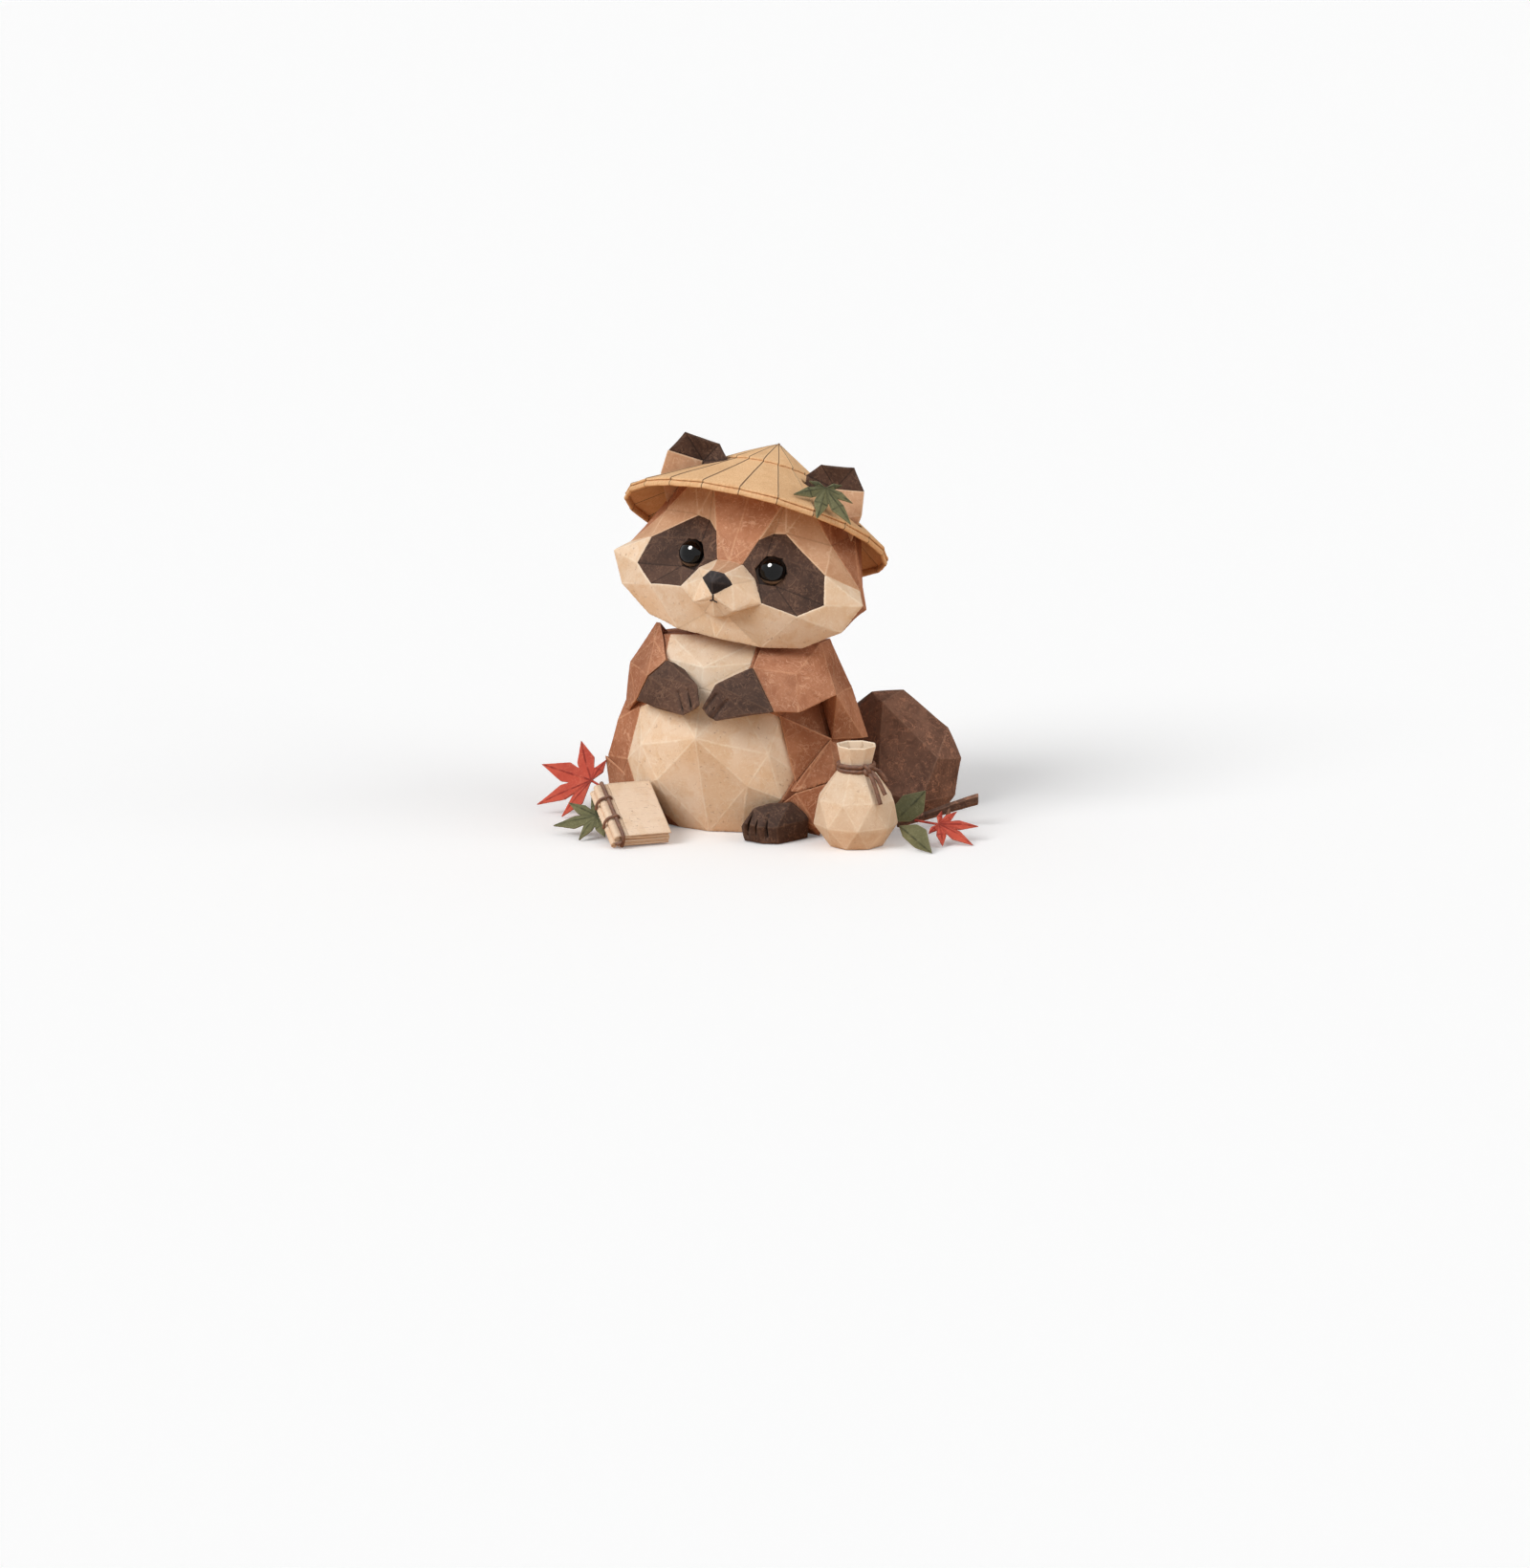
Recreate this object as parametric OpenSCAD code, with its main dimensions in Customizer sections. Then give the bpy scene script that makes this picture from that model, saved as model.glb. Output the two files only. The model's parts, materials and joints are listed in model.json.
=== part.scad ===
// Paper tanuki: a seated raccoon dog folded from washi, in a conical hat,
// with a tied pouch, a bound notebook and a few paper leaves.
// Origin: the middle of the flat base. The figure faces -Y. Millimetres.

/* [Paper] */
// Thickness of the folded washi panels
paper_t = 1.2; // [0.8:0.1:2]
// Thickness of the leaf paper
leaf_t = 0.8; // [0.6:0.1:1.2]

/* [Head] */
// Width of the face across the brows
face_w = 100; // [80:1:120]
// Depth of the face, from the head's centre to the nose
face_d = 50; // [42:1:60]
// Height of the crown over the head's centre
crown_h = 50; // [42:1:60]
// Sideways lean of the head, degrees
head_lean = 8.4; // [4:0.1:10]
// Diameter of the eye balls
eye_d = 12.6; // [10:0.1:14]
// Outer diameter of the neck tube
neck_d = 20; // [16:1:26]

/* [Hat] */
// Radius of the hat at its brim
hat_r = 63.5; // [58:0.5:70]
// Height of the hat's cone
hat_h = 40; // [34:0.5:46]
// Number of pleats round the hat
pleats = 22; // [16:1:28]
// Thickness of the hat's paper
hat_t = 1.2; // [1:0.1:1.6]
// Height of the folded rim
rim_h = 2.2; // [1.6:0.1:3]
// Tilt of the hat towards the back of the head, degrees
hat_tilt = 27; // [25:0.1:31]

/* [Body] */
// Width of the coat at the belt
body_w = 100; // [90:1:115]
// Depth of the body at the belly
body_d = 100; // [90:1:115]
// Height of the body, base to neck
body_h = 100; // [90:1:112]

/* [Tail] */
// Width of the tail
tail_w = 54; // [48:1:58]
// Depth of the tail
tail_d = 48; // [44:1:54]
// Height of the tail
tail_h = 56; // [50:1:62]

/* [Pouch] */
// Height of the pouch
pouch_h = 47; // [42:1:54]
// Radius of the pouch at its widest
pouch_r = 19.5; // [16:0.5:21]
// Radius of the pouch's neck
throat_r = 7.2; // [6:0.1:8]
// Radius of the pouch's mouth
mouth_r = 9.8; // [9:0.1:12]
// Wall of the pouch at the mouth
pouch_wall = 1; // [0.8:0.1:1.4]
// Diameter of the tie cord
tie_d = 1.8; // [1.2:0.1:2.2]

/* [Notebook] */
// Width of the notebook from spine to fore edge
book_w = 28.4; // [24:0.2:32]
// Length of the notebook along its spine
book_l = 37; // [32:0.5:41]
// Thickness of one bound bundle of pages
bundle_t = 3; // [2.4:0.1:3.6]
// Thickness of the covers
cover_t = 0.8; // [0.6:0.1:1]
// Diameter of the rolled spines
roll_d = 3.4; // [2.8:0.1:3.8]
// Diameter of the binding cord
bind_d = 1.4; // [1:0.1:1.6]

/* [Leaves] */
// Length of the large red maple leaf's middle lobe
red_l = 23; // [20:0.5:26]
// Length of the green maple leaf's middle lobe
green_l = 21; // [18:0.5:24]
// Length of the hat leaf's middle lobe
hat_leaf_l = 17; // [14:0.5:19]
// Length of the small red maple leaf's middle lobe
small_red_l = 17; // [14:0.5:20]
// Length of the plain green leaves
blade_l = 24; // [20:0.5:28]
// Width of the twig at its thin end
twig_d = 3.2; // [2.4:0.1:4]

/* [Hidden] */

// Overrun of every cutting tool past the face that it cuts
over = paper_t * 0.5;
// Clearance between pieces that come apart
part_gap = paper_t * 0.25;
// Radial play of the neck tube in its bore
neck_play = neck_d * 0.0025;

// Sizes that the share tables of head and body follow
head_size = [face_w / 2, face_d, crown_h];
body_size = [body_w / 2, body_d / 2, body_h];

// Middle of the head, as shares of the body
head_centre_share = [0.2, 0.07, 1.171];
head_centre = scaled(head_centre_share, body_size);

// Points of a share table at real size
function scaled(share, size) = [share.x * size.x, share.y * size.y, share.z * size.z];
function at(shares, size) = [for (s = shares) scaled(s, size)];
// Polygons cut into triangles that fan from their first corner
function fans(polygons) = [for (f = polygons) for (i = [1 : len(f) - 2]) [f[0], f[i], f[i + 1]]];
function turned(f) = [for (i = [len(f) - 1 : -1 : 0]) f[i]];
// Triangles turned so that they all face away from the centre
function facing_out(points, triangles, centre) = [for (f = triangles)
    let (normal = cross(points[f.y] - points[f.x], points[f.z] - points[f.x]))
    normal * (points[f.x] - centre) < 0 ? f : turned(f)];
// Open edges round a patch of triangles
function open_edges(triangles) =
    let (edges = [for (f = triangles) each [[f.x, f.y], [f.y, f.z], [f.z, f.x]]])
    [for (a = edges) if (len([for (b = edges) if (b.x == a.y && b.y == a.x) b]) == 0) a];
// Points moved towards a centre by a paper thickness
function drawn_in(points, centre, t) = [for (p = points) p + (centre - p) * t / norm(centre - p)];
function shifted(points, move) = [for (p = points) p + move];
function mirrored(points) = [for (p = points) [-p.x, p.y, p.z]];
// Right half of a form and its mirror image, sharing the points on the middle plane
function both_points(points) = concat(points, mirrored(points));
function both_faces(faces, points) = let (n = len(points))
    concat(faces, [for (f = faces) [for (i = f) points[i].x == 0 ? i : i + n]]);

// A sheet of folded paper between outer points and the matching inner ones
module sheet(outer, inner, triangles) {
    n = len(outer);
    polyhedron(
        points = concat(outer, inner),
        faces = concat(
            triangles,
            [for (f = triangles) [for (i = turned(f)) i + n]],
            [for (e = open_edges(triangles)) each [[e.y, e.x, e.x + n], [e.y, e.x + n, e.y + n]]]
        )
    );
}

// A sheet over part of a rounded form, its thickness towards the form's centre
module panel(points, polygons, centre = [0, 0, 0], t = paper_t)
    sheet(points, drawn_in(points, centre, t), facing_out(points, fans(polygons), centre));

// The solid filling of a form, inside its panels
module filling(points, polygons, centre = [0, 0, 0], t = 0)
    polyhedron(points = t == 0 ? points : drawn_in(points, centre, t),
        faces = facing_out(points, fans(polygons), centre));

// A faceted lump round its corner points
module lump(points) hull()
    polyhedron(points = points, faces = [for (i = [2 : len(points) - 1]) [0, i - 1, i]]);

// Two-sided: a panel on the right half and its mirror image
module both_panel(points, polygons, centre = [0, 0, 0])
    panel(both_points(points), both_faces(polygons, points), centre);

// Corners of the right half of the head, as shares of head_size
head_shares = [
    [0, -0.38, 0.86], [0, -0.69, 0.236], [0, -0.99, 0.18], [0.07, -0.97, 0.172], [0.15, -0.93, 0.088],
    [0, -1.01, -0.026], [0, -1.07, 0.104], [0, -0.985, -0.078], [0.2, -0.95, -0.152], [0.1, -0.89, -0.228],
    [0, -0.895, -0.26], [0, -0.772, -0.484], [0.412, -0.652, -0.504], [0.764, -0.508, -0.464],
    [1.096, -0.46, -0.252], [1.24, -0.39, 0.028], [0.122, -0.672, 0.222], [0.274, -0.706, 0.118],
    [0.398, -0.79, -0.066], [0.726, -0.7, -0.134], [0.928, -0.57, -0.004], [0.864, -0.48, 0.246],
    [0.434, -0.454, 0.54], [0.316, -0.45, 0.516], [0.212, -0.56, 0.456], [0.36, -0.37, 0.84],
    [0.57, -0.32, 0.83], [0.82, -0.26, 0.48], [1.15, -0.24, 0.11], [1.19, -0.1, -0.08], [0.92, 0.06, 0.55],
    [0.7, -0.16, 0.84], [0, -0.16, 0.94], [0, 0.56, 1.02], [0.52, 0.36, 0.76], [0.88, 0.44, 0.42],
    [0, 0.92, 0.42], [0.48, 0.82, 0.34], [0, 0.9, -0.16], [0.56, 0.72, -0.16], [1.04, 0.28, -0.12],
    [0, 0.04, -0.4], [0.68, 0.08, -0.38], [0, 0.68, -0.34], [0.44, 0.56, -0.34], [0.2, -0.8, -0.17],
    [0.1, -0.79, -0.245], [0, -0.79, -0.275]
];
// Middle of the eye on the face, and how its hole slopes with the face
eye_share = [0.394, -0.6, 0.21];
eye_hole_share = [0.29, 0.63, 0.29];
eye_hole_slope_share = [0.3, 0.4];
eye_centre = scaled(eye_share, head_size);
first_hole_point = len(head_shares);
head_points = concat(
    at(head_shares, head_size),
    [for (a = [0 : 60 : 300]) let (
        x = cos(a) * eye_hole_share.x * head_size.x / 2,
        z = sin(a) * eye_hole_share.z * head_size.z / 2)
        [eye_centre.x + x,
            -eye_hole_share.y * face_d + eye_hole_slope_share.x * x + eye_hole_slope_share.y * z,
            eye_centre.z + z]]
);
function hole(i) = first_hole_point + i;

forehead_faces = [[0, 25, 24, 1], [24, 16, 1]];
bridge_faces = [[1, 16, 3, 2]];
muzzle_faces = [
    [16, 17, 3], [17, 4, 3], [17, 18, 4], [18, 8, 4], [8, 5, 4], [8, 7, 5], [18, 45, 8]
];
nose_faces = [[2, 3, 6], [3, 4, 6], [4, 5, 6]];
lip_faces = [[7, 8, 9], [7, 9, 10], [8, 45, 46, 9], [9, 46, 47, 10]];
mask_faces = [
    [21, 15, 20], [20, 15, 14], [20, 14, 19], [19, 14, 13], [19, 13, 12], [19, 12, 18], [18, 12, 45],
    [45, 12, 46], [46, 12, 11], [46, 11, 47], [21, 28, 15]
];
brow_faces = [[24, 25, 23], [23, 25, 22], [22, 25, 26], [22, 26, 27], [22, 27, 21], [21, 27, 28]];
patch_faces = [
    [16, 24, hole(3)], [24, hole(2), hole(3)], [24, 23, hole(2)], [23, 22, hole(2)], [22, hole(1), hole(2)],
    [22, 21, hole(1)], [21, hole(0), hole(1)], [21, 20, hole(0)], [20, hole(5), hole(0)], [20, 19, hole(5)],
    [19, 18, hole(5)], [18, hole(4), hole(5)], [18, 17, hole(4)], [17, hole(3), hole(4)], [17, 16, hole(3)]
];
back_faces = [
    [26, 31, 27], [27, 31, 30], [27, 30, 28], [28, 30, 29], [28, 29, 15], [15, 29, 14], [0, 32, 25],
    [25, 32, 31], [25, 31, 26], [32, 33, 34], [32, 34, 31], [31, 34, 30], [34, 35, 30], [33, 36, 37],
    [33, 37, 34], [34, 37, 35], [30, 35, 40], [30, 40, 29], [35, 39, 40], [35, 37, 39], [37, 36, 38],
    [37, 38, 39], [29, 40, 42], [29, 42, 14], [14, 42, 13], [13, 42, 12], [12, 42, 41], [12, 41, 11],
    [40, 39, 44], [40, 44, 42], [39, 38, 43], [39, 43, 44], [42, 44, 41], [44, 43, 41]
];
hole_face = [[for (i = [0 : 5]) hole(i)]];
head_faces = concat(forehead_faces, bridge_faces, muzzle_faces, nose_faces, lip_faces, mask_faces,
    brow_faces, patch_faces, back_faces, hole_face);

// Places the head's pieces on the neck
module on_head() translate(head_centre) rotate([0, head_lean, 0]) children();
// Makes the left copy of a right-hand piece of the head
module other_side() mirror([1, 0, 0]) children();

module head_solid(t = 0)
    filling(both_points(head_points), both_faces(head_faces, head_points), [0, 0, 0], t);

module eye_ball(play = 0) translate(eye_centre) sphere(d = eye_d + 2 * play, $fn = 48);

neck_top = -head_size.z * 0.36;
neck_drop = neck_top - body_h * 0.18;

module head_form() color("tan") difference() {
    on_head() difference() {
        head_solid(paper_t);
        eye_ball(part_gap / 2);
        other_side() eye_ball(part_gap / 2);
        translate([0, 0, neck_top - neck_d]) cylinder(d = neck_d, h = neck_d, $fn = 48);
    }
    over_hat();
}

module face_mask() color("wheat") on_head() both_panel(head_points, mask_faces);
module muzzle() panel(head_points, muzzle_faces);
module muzzle_right() color("wheat") on_head() muzzle();
module muzzle_left() color("wheat") on_head() other_side() muzzle();
module lower_lip() color("wheat") on_head() both_panel(head_points, lip_faces);
module nose_bridge() color("tan") on_head() both_panel(head_points, bridge_faces);
module nose() color("#2b2829") on_head() both_panel(head_points, nose_faces);
module forehead() color("#a5694b") difference() {
    on_head() both_panel(head_points, forehead_faces);
    over_hat();
}
module brow() panel(head_points, brow_faces);
module brow_right() color("#c99d78") on_head() brow();
module brow_left() color("#c99d78") on_head() other_side() brow();
module eye_patch() difference() {
    panel(head_points, patch_faces);
    eye_ball(part_gap / 2);
}
module eye_patch_right() color("#4a3731") on_head() eye_patch();
module eye_patch_left() color("#4a3731") on_head() other_side() eye_patch();
module eye_right() color("#151515") on_head() eye_ball();
module eye_left() color("#151515") on_head() other_side() eye_ball();
module head_back() color("#9a6146") difference() {
    on_head() both_panel(head_points, back_faces);
    neck_tube();
    over_hat();
}
module neck_tube() color("tan") on_head()
    translate([0, 0, neck_drop]) cylinder(d = neck_d, h = neck_top - neck_drop, $fn = 48);

// Corners of the right ear: five round its edge, two at its foot, its front fold and its back
ear_shares = [
    [0.97, -0.02, 0.99], [0.84, 0, 1.19], [0.5, 0.04, 1.14], [0.39, 0, 1.02], [0.4, 0, 0.7],
    [0.92, 0, 0.5], [0.995, -0.06, 0.77], [0.66, 0.1, 0.93], [0.68, 0.04, 0.66], [0.68, 0.24, 0.9]
];
ear_points = at(ear_shares, head_size);
ear_front = [[0, 1, 7], [1, 2, 7], [2, 3, 7], [3, 4, 8, 7], [6, 0, 7, 8, 5]];
ear_back = [[0, 6, 9], [6, 5, 9], [5, 8, 4], [5, 4, 9], [4, 3, 9], [3, 2, 9], [2, 1, 9], [1, 0, 9]];
// A point inside the ear that sees all its faces
ear_inside_share = [0.68, 0.17, 0.85];
lining_faces = [[6, 0, 7, 8, 5]];

module ear_solid()
    filling(ear_points, concat(ear_front, ear_back), scaled(ear_inside_share, head_size));
module ear() difference() {
    ear_solid();
    head_solid();
}
module ear_lining() difference() {
    sheet(shifted(ear_points, [0, -paper_t, 0]), ear_points,
        facing_out(ear_points, fans(lining_faces), scaled(ear_inside_share, head_size)));
    head_solid();
}
module ear_right() color("#4f3a33") on_head() ear();
module ear_left() color("#4f3a33") on_head() other_side() ear();
module ear_lining_right() color("#d9b48c") on_head() ear_lining();
module ear_lining_left() color("#d9b48c") on_head() other_side() ear_lining();

// Middle of the hat's brim on the head, and its slight skew
hat_centre_share = [-0.096, 0.24, 0.4];
hat_skew = -1.9;
module on_hat() on_head()
    translate(scaled(hat_centre_share, head_size)) rotate([-hat_tilt, hat_skew, 0]) children();

pleat_step = hat_t * 0.5;
pleat_turn = 360 / pleats;
cap_r = hat_r * 0.4;
tip_r = hat_r * 0.02;
rim_t = hat_t * 1.5;

function cone_rise(r) = hat_h * (1 - r / hat_r);
// Corners of a pleated ring: each pleat starts low and ends one step higher, with a soft crease in its middle
pleat_shares = [[0.02, 0], [0.5, 0.75], [0.98, 1]];
function pleat_ring(r, rise, step) = [for (k = [0 : pleats - 1]) each [
    for (c = pleat_shares) let (a = (k + c.x) * pleat_turn) [r * cos(a), r * sin(a), rise + step * c.y]]];

// A closed band through four rings of corners
module ring_band(rings) {
    n = len(rings[0]);
    polyhedron(points = [for (r = rings) each r], faces = [for (k = [0 : 3]) for (i = [0 : n - 1])
        let (j = (i + 1) % n, a = k * n, b = ((k + 1) % 4) * n)
        each [[a + i, b + i, b + j], [a + i, b + j, a + j]]]);
}

// A pleated cone shell between two radii; the underside is smooth or follows the pleats below it
module pleated_shell(r_low, r_high, lift, pleated_under) {
    step_low = pleat_step * r_low / hat_r;
    step_high = pleat_step * r_high / hat_r;
    under_low = pleated_under ? step_low : 0;
    under_high = pleated_under ? step_high : 0;
    ring_band([
        pleat_ring(r_low, cone_rise(r_low) + lift - hat_t, under_low),
        pleat_ring(r_low, cone_rise(r_low) + lift, step_low),
        pleat_ring(r_high, cone_rise(r_high) + lift, step_high),
        pleat_ring(r_high, cone_rise(r_high) + lift - hat_t, under_high)
    ]);
}

// Openings for the ears, straight along the head so that the hat lifts off over them
ear_play = paper_t * 0.6;
module ear_slot() linear_extrude(height = 2 * crown_h) hull() for (p = ear_points)
    translate([p.x, p.y - paper_t / 2]) circle(r = ear_play + paper_t / 2, $fn = 16);
module ear_slots() on_head() {
    ear_slot();
    other_side() ear_slot();
}

// Everything above the hat's inside, with the clearance that the head keeps from it
module over_hat() on_hat() {
    difference() {
        cylinder(r = hat_r * 0.9, h = hat_h * 2, $fn = 24);
        translate([0, 0, -hat_t - part_gap])
            cylinder(r1 = hat_r * 0.998, r2 = 0, h = hat_h * 0.998, $fn = pleats * 3);
    }
    translate([0, 0, -hat_t - rim_h - part_gap]) difference() {
        cylinder(r = hat_r * 1.2, h = hat_h, $fn = pleats * 3);
        translate([0, 0, -over]) cylinder(r = hat_r - rim_t * 1.2, h = hat_h + 2 * over, $fn = pleats * 3);
    }
}

module hat_cone() color("#d9a869") difference() {
    on_hat() pleated_shell(hat_r, tip_r, 0, false);
    ear_slots();
}
module hat_cap() color("#d9a869") difference() {
    on_hat() pleated_shell(cap_r, tip_r, hat_t, true);
    ear_slots();
}
module hat_tip() color("#cf9c5d") on_hat() translate([0, 0, cone_rise(tip_r) - hat_t])
    cylinder(r1 = tip_r * 0.96, r2 = tip_r * 0.5, h = hat_t * 2.6, $fn = pleats);
module hat_rim() color("#cf9c5d") on_hat() ring_band([
    pleat_ring(hat_r, -hat_t - rim_h, 0),
    pleat_ring(hat_r, -hat_t, 0),
    pleat_ring(hat_r - rim_t, cone_rise(hat_r - rim_t) - hat_t, 0),
    pleat_ring(hat_r - rim_t, -hat_t - rim_h, 0)
]);

// A folded maple leaf: lobes are [angle, length share]; the middle stands raised by the cup
lobe_side_shares = [0.5, 0.2];
lobe_ridge_share = 0.5;
notch_share = 0.38;
function lobe_at(a, r, z) = [r * cos(a), r * sin(a), z];
// A lobe's side corners stay within its own share of the angle to its neighbours
lobe_turn_share = 0.42;
lobe_turn_most = atan2(lobe_side_shares.y, lobe_side_shares.x);
function lobe_turn(a, b) = min(lobe_turn_most, abs(a - b) * lobe_turn_share);
function lobe_points(lobe, before, after, size, fold, cup) = let (a = lobe.x, r = lobe.y * size,
    side = norm(lobe_side_shares) * r)
    [lobe_at(a - before, side, cup / 2), lobe_at(a, r * lobe_ridge_share, cup / 2 + fold),
        lobe_at(a + after, side, cup / 2), lobe_at(a, r, 0)];
function notch_point(a, b, size, cup) =
    lobe_at((a.x + b.x) / 2, notch_share * size * (a.y + b.y) / 2, cup / 2);
function maple_points(lobes, size, fold, cup) = let (last = len(lobes) - 1) concat(
    [[0, 0, cup]],
    [for (k = [0 : last]) each lobe_points(lobes[k],
        k == 0 ? lobe_turn_most : lobe_turn(lobes[k].x, lobes[k - 1].x),
        k == last ? lobe_turn_most : lobe_turn(lobes[k].x, lobes[k + 1].x), size, fold, cup)],
    [for (k = [0 : last - 1]) notch_point(lobes[k], lobes[k + 1], size, cup)]
);
function maple_faces(count) = let (notch = 1 + count * 4) concat(
    [for (k = [0 : count - 1]) let (i = 1 + k * 4)
        each [[0, i, i + 1], [i + 1, i, i + 3], [i + 1, i + 3, i + 2], [0, i + 1, i + 2]]],
    [for (k = [0 : count - 2]) let (i = 1 + k * 4, j = i + 4)
        each [[0, i + 2, notch + k], [0, notch + k, j]]]
);
module maple(lobes, size, fold, cup, stalk) {
    points = maple_points(lobes, size, fold, cup);
    faces = [for (f = maple_faces(len(lobes))) turned(f)];
    sheet(shifted(points, [0, 0, leaf_t]), points, faces);
    strand([[0, 0, cup + leaf_t / 2], stalk], leaf_t * 1.4);
}
// A round cord or stalk through its corner points
module strand(points, d, sides = 12) for (i = [1 : len(points) - 1]) hull() {
    translate(points[i - 1]) sphere(d = d, $fn = sides);
    translate(points[i]) sphere(d = d, $fn = sides);
}

hat_leaf_lobe_shares = [[-210, 0.5], [-172, 0.95], [-116, 1.05], [-69, 1.28], [-38, 0.85], [5, 0.5]];
// Place on the hat, as shares of its radius and height
hat_leaf_place_share = [0.66, -0.66, 0.297];
module hat_leaf() color("#5c5f3b") difference() {
    on_hat() translate(scaled(hat_leaf_place_share, [hat_r, hat_r, hat_h])) rotate([67.6, -20.7, 31.9])
        maple(hat_leaf_lobe_shares, hat_leaf_l, leaf_t, 0, [0, -hat_leaf_l * 0.08, -hat_leaf_l * 0.48]);
    on_hat() translate([0, 0, -hat_h]) cylinder(r = hat_r * 0.98, h = hat_h, $fn = pleats * 3);
    on_hat() pleated_shell(hat_r, tip_r, 0, false);
    ear_room();
}
module ear_room() on_head()
    lump([for (p = ear_points) for (m = [-1, 1]) p + m * part_gap * [1, 1, 0] - [0, paper_t / 2, 0]]);

// Corners of the right half of the body, as shares of body_size
body_shares = [
    [0, -0.56, 0], [0.31, -0.5, 0], [0.64, -0.38, 0], [0.88, -0.08, 0], [0.92, 0.28, 0], [0.64, 0.68, 0],
    [0, 0.84, 0], [0, -0.9, 0.474], [0.446, -0.714, 0.245], [0.636, -0.66, 0.4], [0.728, -0.568, 0.185],
    [0.848, -0.45, 0.3], [0.72, -0.496, 0.5], [0.694, -0.5, 0.56], [1.06, -0.24, 0.12], [1.16, -0.18, 0.28],
    [1.16, 0.24, 0.24], [1.04, -0.22, 0.46], [1.1, 0.28, 0.44], [0.8, 0.76, 0.2], [0, 0.92, 0.24],
    [0.76, 0.72, 0.48], [0, -0.72, 0.693], [0.32, -0.7, 0.66], [0.64, -0.48, 0.7], [0.88, -0.12, 0.68],
    [0.92, 0.28, 0.68], [0.6, 0.6, 0.72], [0, 0.72, 0.72], [0, -0.674, 0.787], [0.426, -0.56, 0.81],
    [0.43, -0.41, 0.905], [0, -0.394, 0.915], [0.62, -0.24, 0.88], [0.76, 0.08, 0.87], [0.64, 0.4, 0.85],
    [0, 0.52, 0.87], [0, 0.08, 0.91], [0, 0.16, 0]
];
body_points = at(body_shares, body_size);
body_middle = [0, 0, body_h * 0.45];
belly_faces = [
    [0, 8, 7], [0, 1, 8], [1, 10, 8], [8, 10, 9], [10, 11, 9], [9, 11, 12], [9, 12, 13], [7, 8, 9],
    [7, 9, 23], [23, 9, 13], [7, 23, 22]
];
chest_faces = [[29, 32, 31], [29, 31, 30], [22, 29, 30], [22, 30, 23]];
coat_faces = [
    [1, 2, 10], [2, 14, 10], [10, 14, 11], [11, 14, 15], [11, 15, 17], [11, 17, 12], [12, 17, 13],
    [13, 17, 25], [13, 25, 24], [13, 24, 23], [2, 3, 14], [14, 16, 15], [3, 16, 14], [3, 4, 16],
    [15, 16, 18], [15, 18, 17], [4, 5, 19], [4, 19, 16], [5, 20, 19], [5, 6, 20], [16, 19, 21],
    [16, 21, 18], [19, 20, 21], [17, 18, 25], [25, 18, 26], [18, 21, 26], [26, 21, 27], [21, 20, 27],
    [27, 20, 28], [23, 24, 30], [24, 33, 30], [30, 33, 31], [24, 25, 33], [25, 34, 33], [25, 26, 34],
    [34, 26, 35], [26, 27, 35], [35, 27, 36], [27, 28, 36], [31, 33, 37], [32, 31, 37], [33, 34, 37],
    [34, 35, 37], [35, 36, 37]
];
base_faces = [[38, 0, 1], [38, 1, 2], [38, 2, 3], [38, 3, 4], [38, 4, 5], [38, 5, 6]];
body_faces = concat(belly_faces, chest_faces, coat_faces, base_faces);

module neck_bore() on_head() translate([0, 0, neck_drop - over])
    cylinder(d = neck_d + 2 * neck_play, h = neck_d * 2, $fn = 48);
module body_solid(t = 0)
    filling(both_points(body_points), both_faces(body_faces, body_points), body_middle, t);

module body_form() color("tan") difference() {
    body_solid(paper_t);
    neck_bore();
}
module belly() color("wheat") both_panel(body_points, belly_faces, body_middle);
module chest() color("wheat") both_panel(body_points, chest_faces, body_middle);
module coat() color("#a5694b") difference() {
    both_panel(body_points, coat_faces, body_middle);
    neck_bore();
}
module base_card() color("#8a5a42") both_panel(body_points, base_faces, body_middle);

// Right sleeve and its cuff, shoulder and hidden side, as shares of body_size
sleeve_right_shares = [
    [0.54, -0.6, 0.83], [0.5, -0.72, 0.81], [0.786, -0.92, 0.626], [0.974, -0.8, 0.621], [1.19, -0.36, 0.67],
    [0.934, -0.28, 0.846], [0.86, -0.56, 0.781], [0.956, -0.12, 0.886], [0.948, 0.16, 0.88],
    [0.68, -0.32, 0.877], [0.48, -0.44, 0.882], [0.3, -0.4, 0.66], [0.8, 0, 0.64], [0.6, 0.1, 0.84]
];
flare_shares = [
    [0.956, -0.12, 0.886], [0.948, 0.16, 0.88], [1.19, -0.36, 0.67], [1.126, 0.28, 0.645],
    [1.248, 0.4, 0.395], [1.272, 0.16, 0.421], [1.104, -0.24, 0.442], [0.9, 0.3, 0.42], [0.7, 0.2, 0.84]
];
sleeve_left_shares = [
    [-0.68, -0.12, 0.931], [-0.606, -0.2, 0.936], [-0.596, -0.4, 0.869], [-0.368, -0.68, 0.815],
    [-0.922, -0.2, 0.739], [-0.936, -0.28, 0.521], [-0.866, -0.36, 0.518], [-0.712, -0.6, 0.598],
    [-0.538, -0.72, 0.738], [-0.6, 0.1, 0.84], [-0.7, 0.16, 0.7], [-0.84, 0.1, 0.54], [-0.4, -0.2, 0.7]
];
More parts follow.
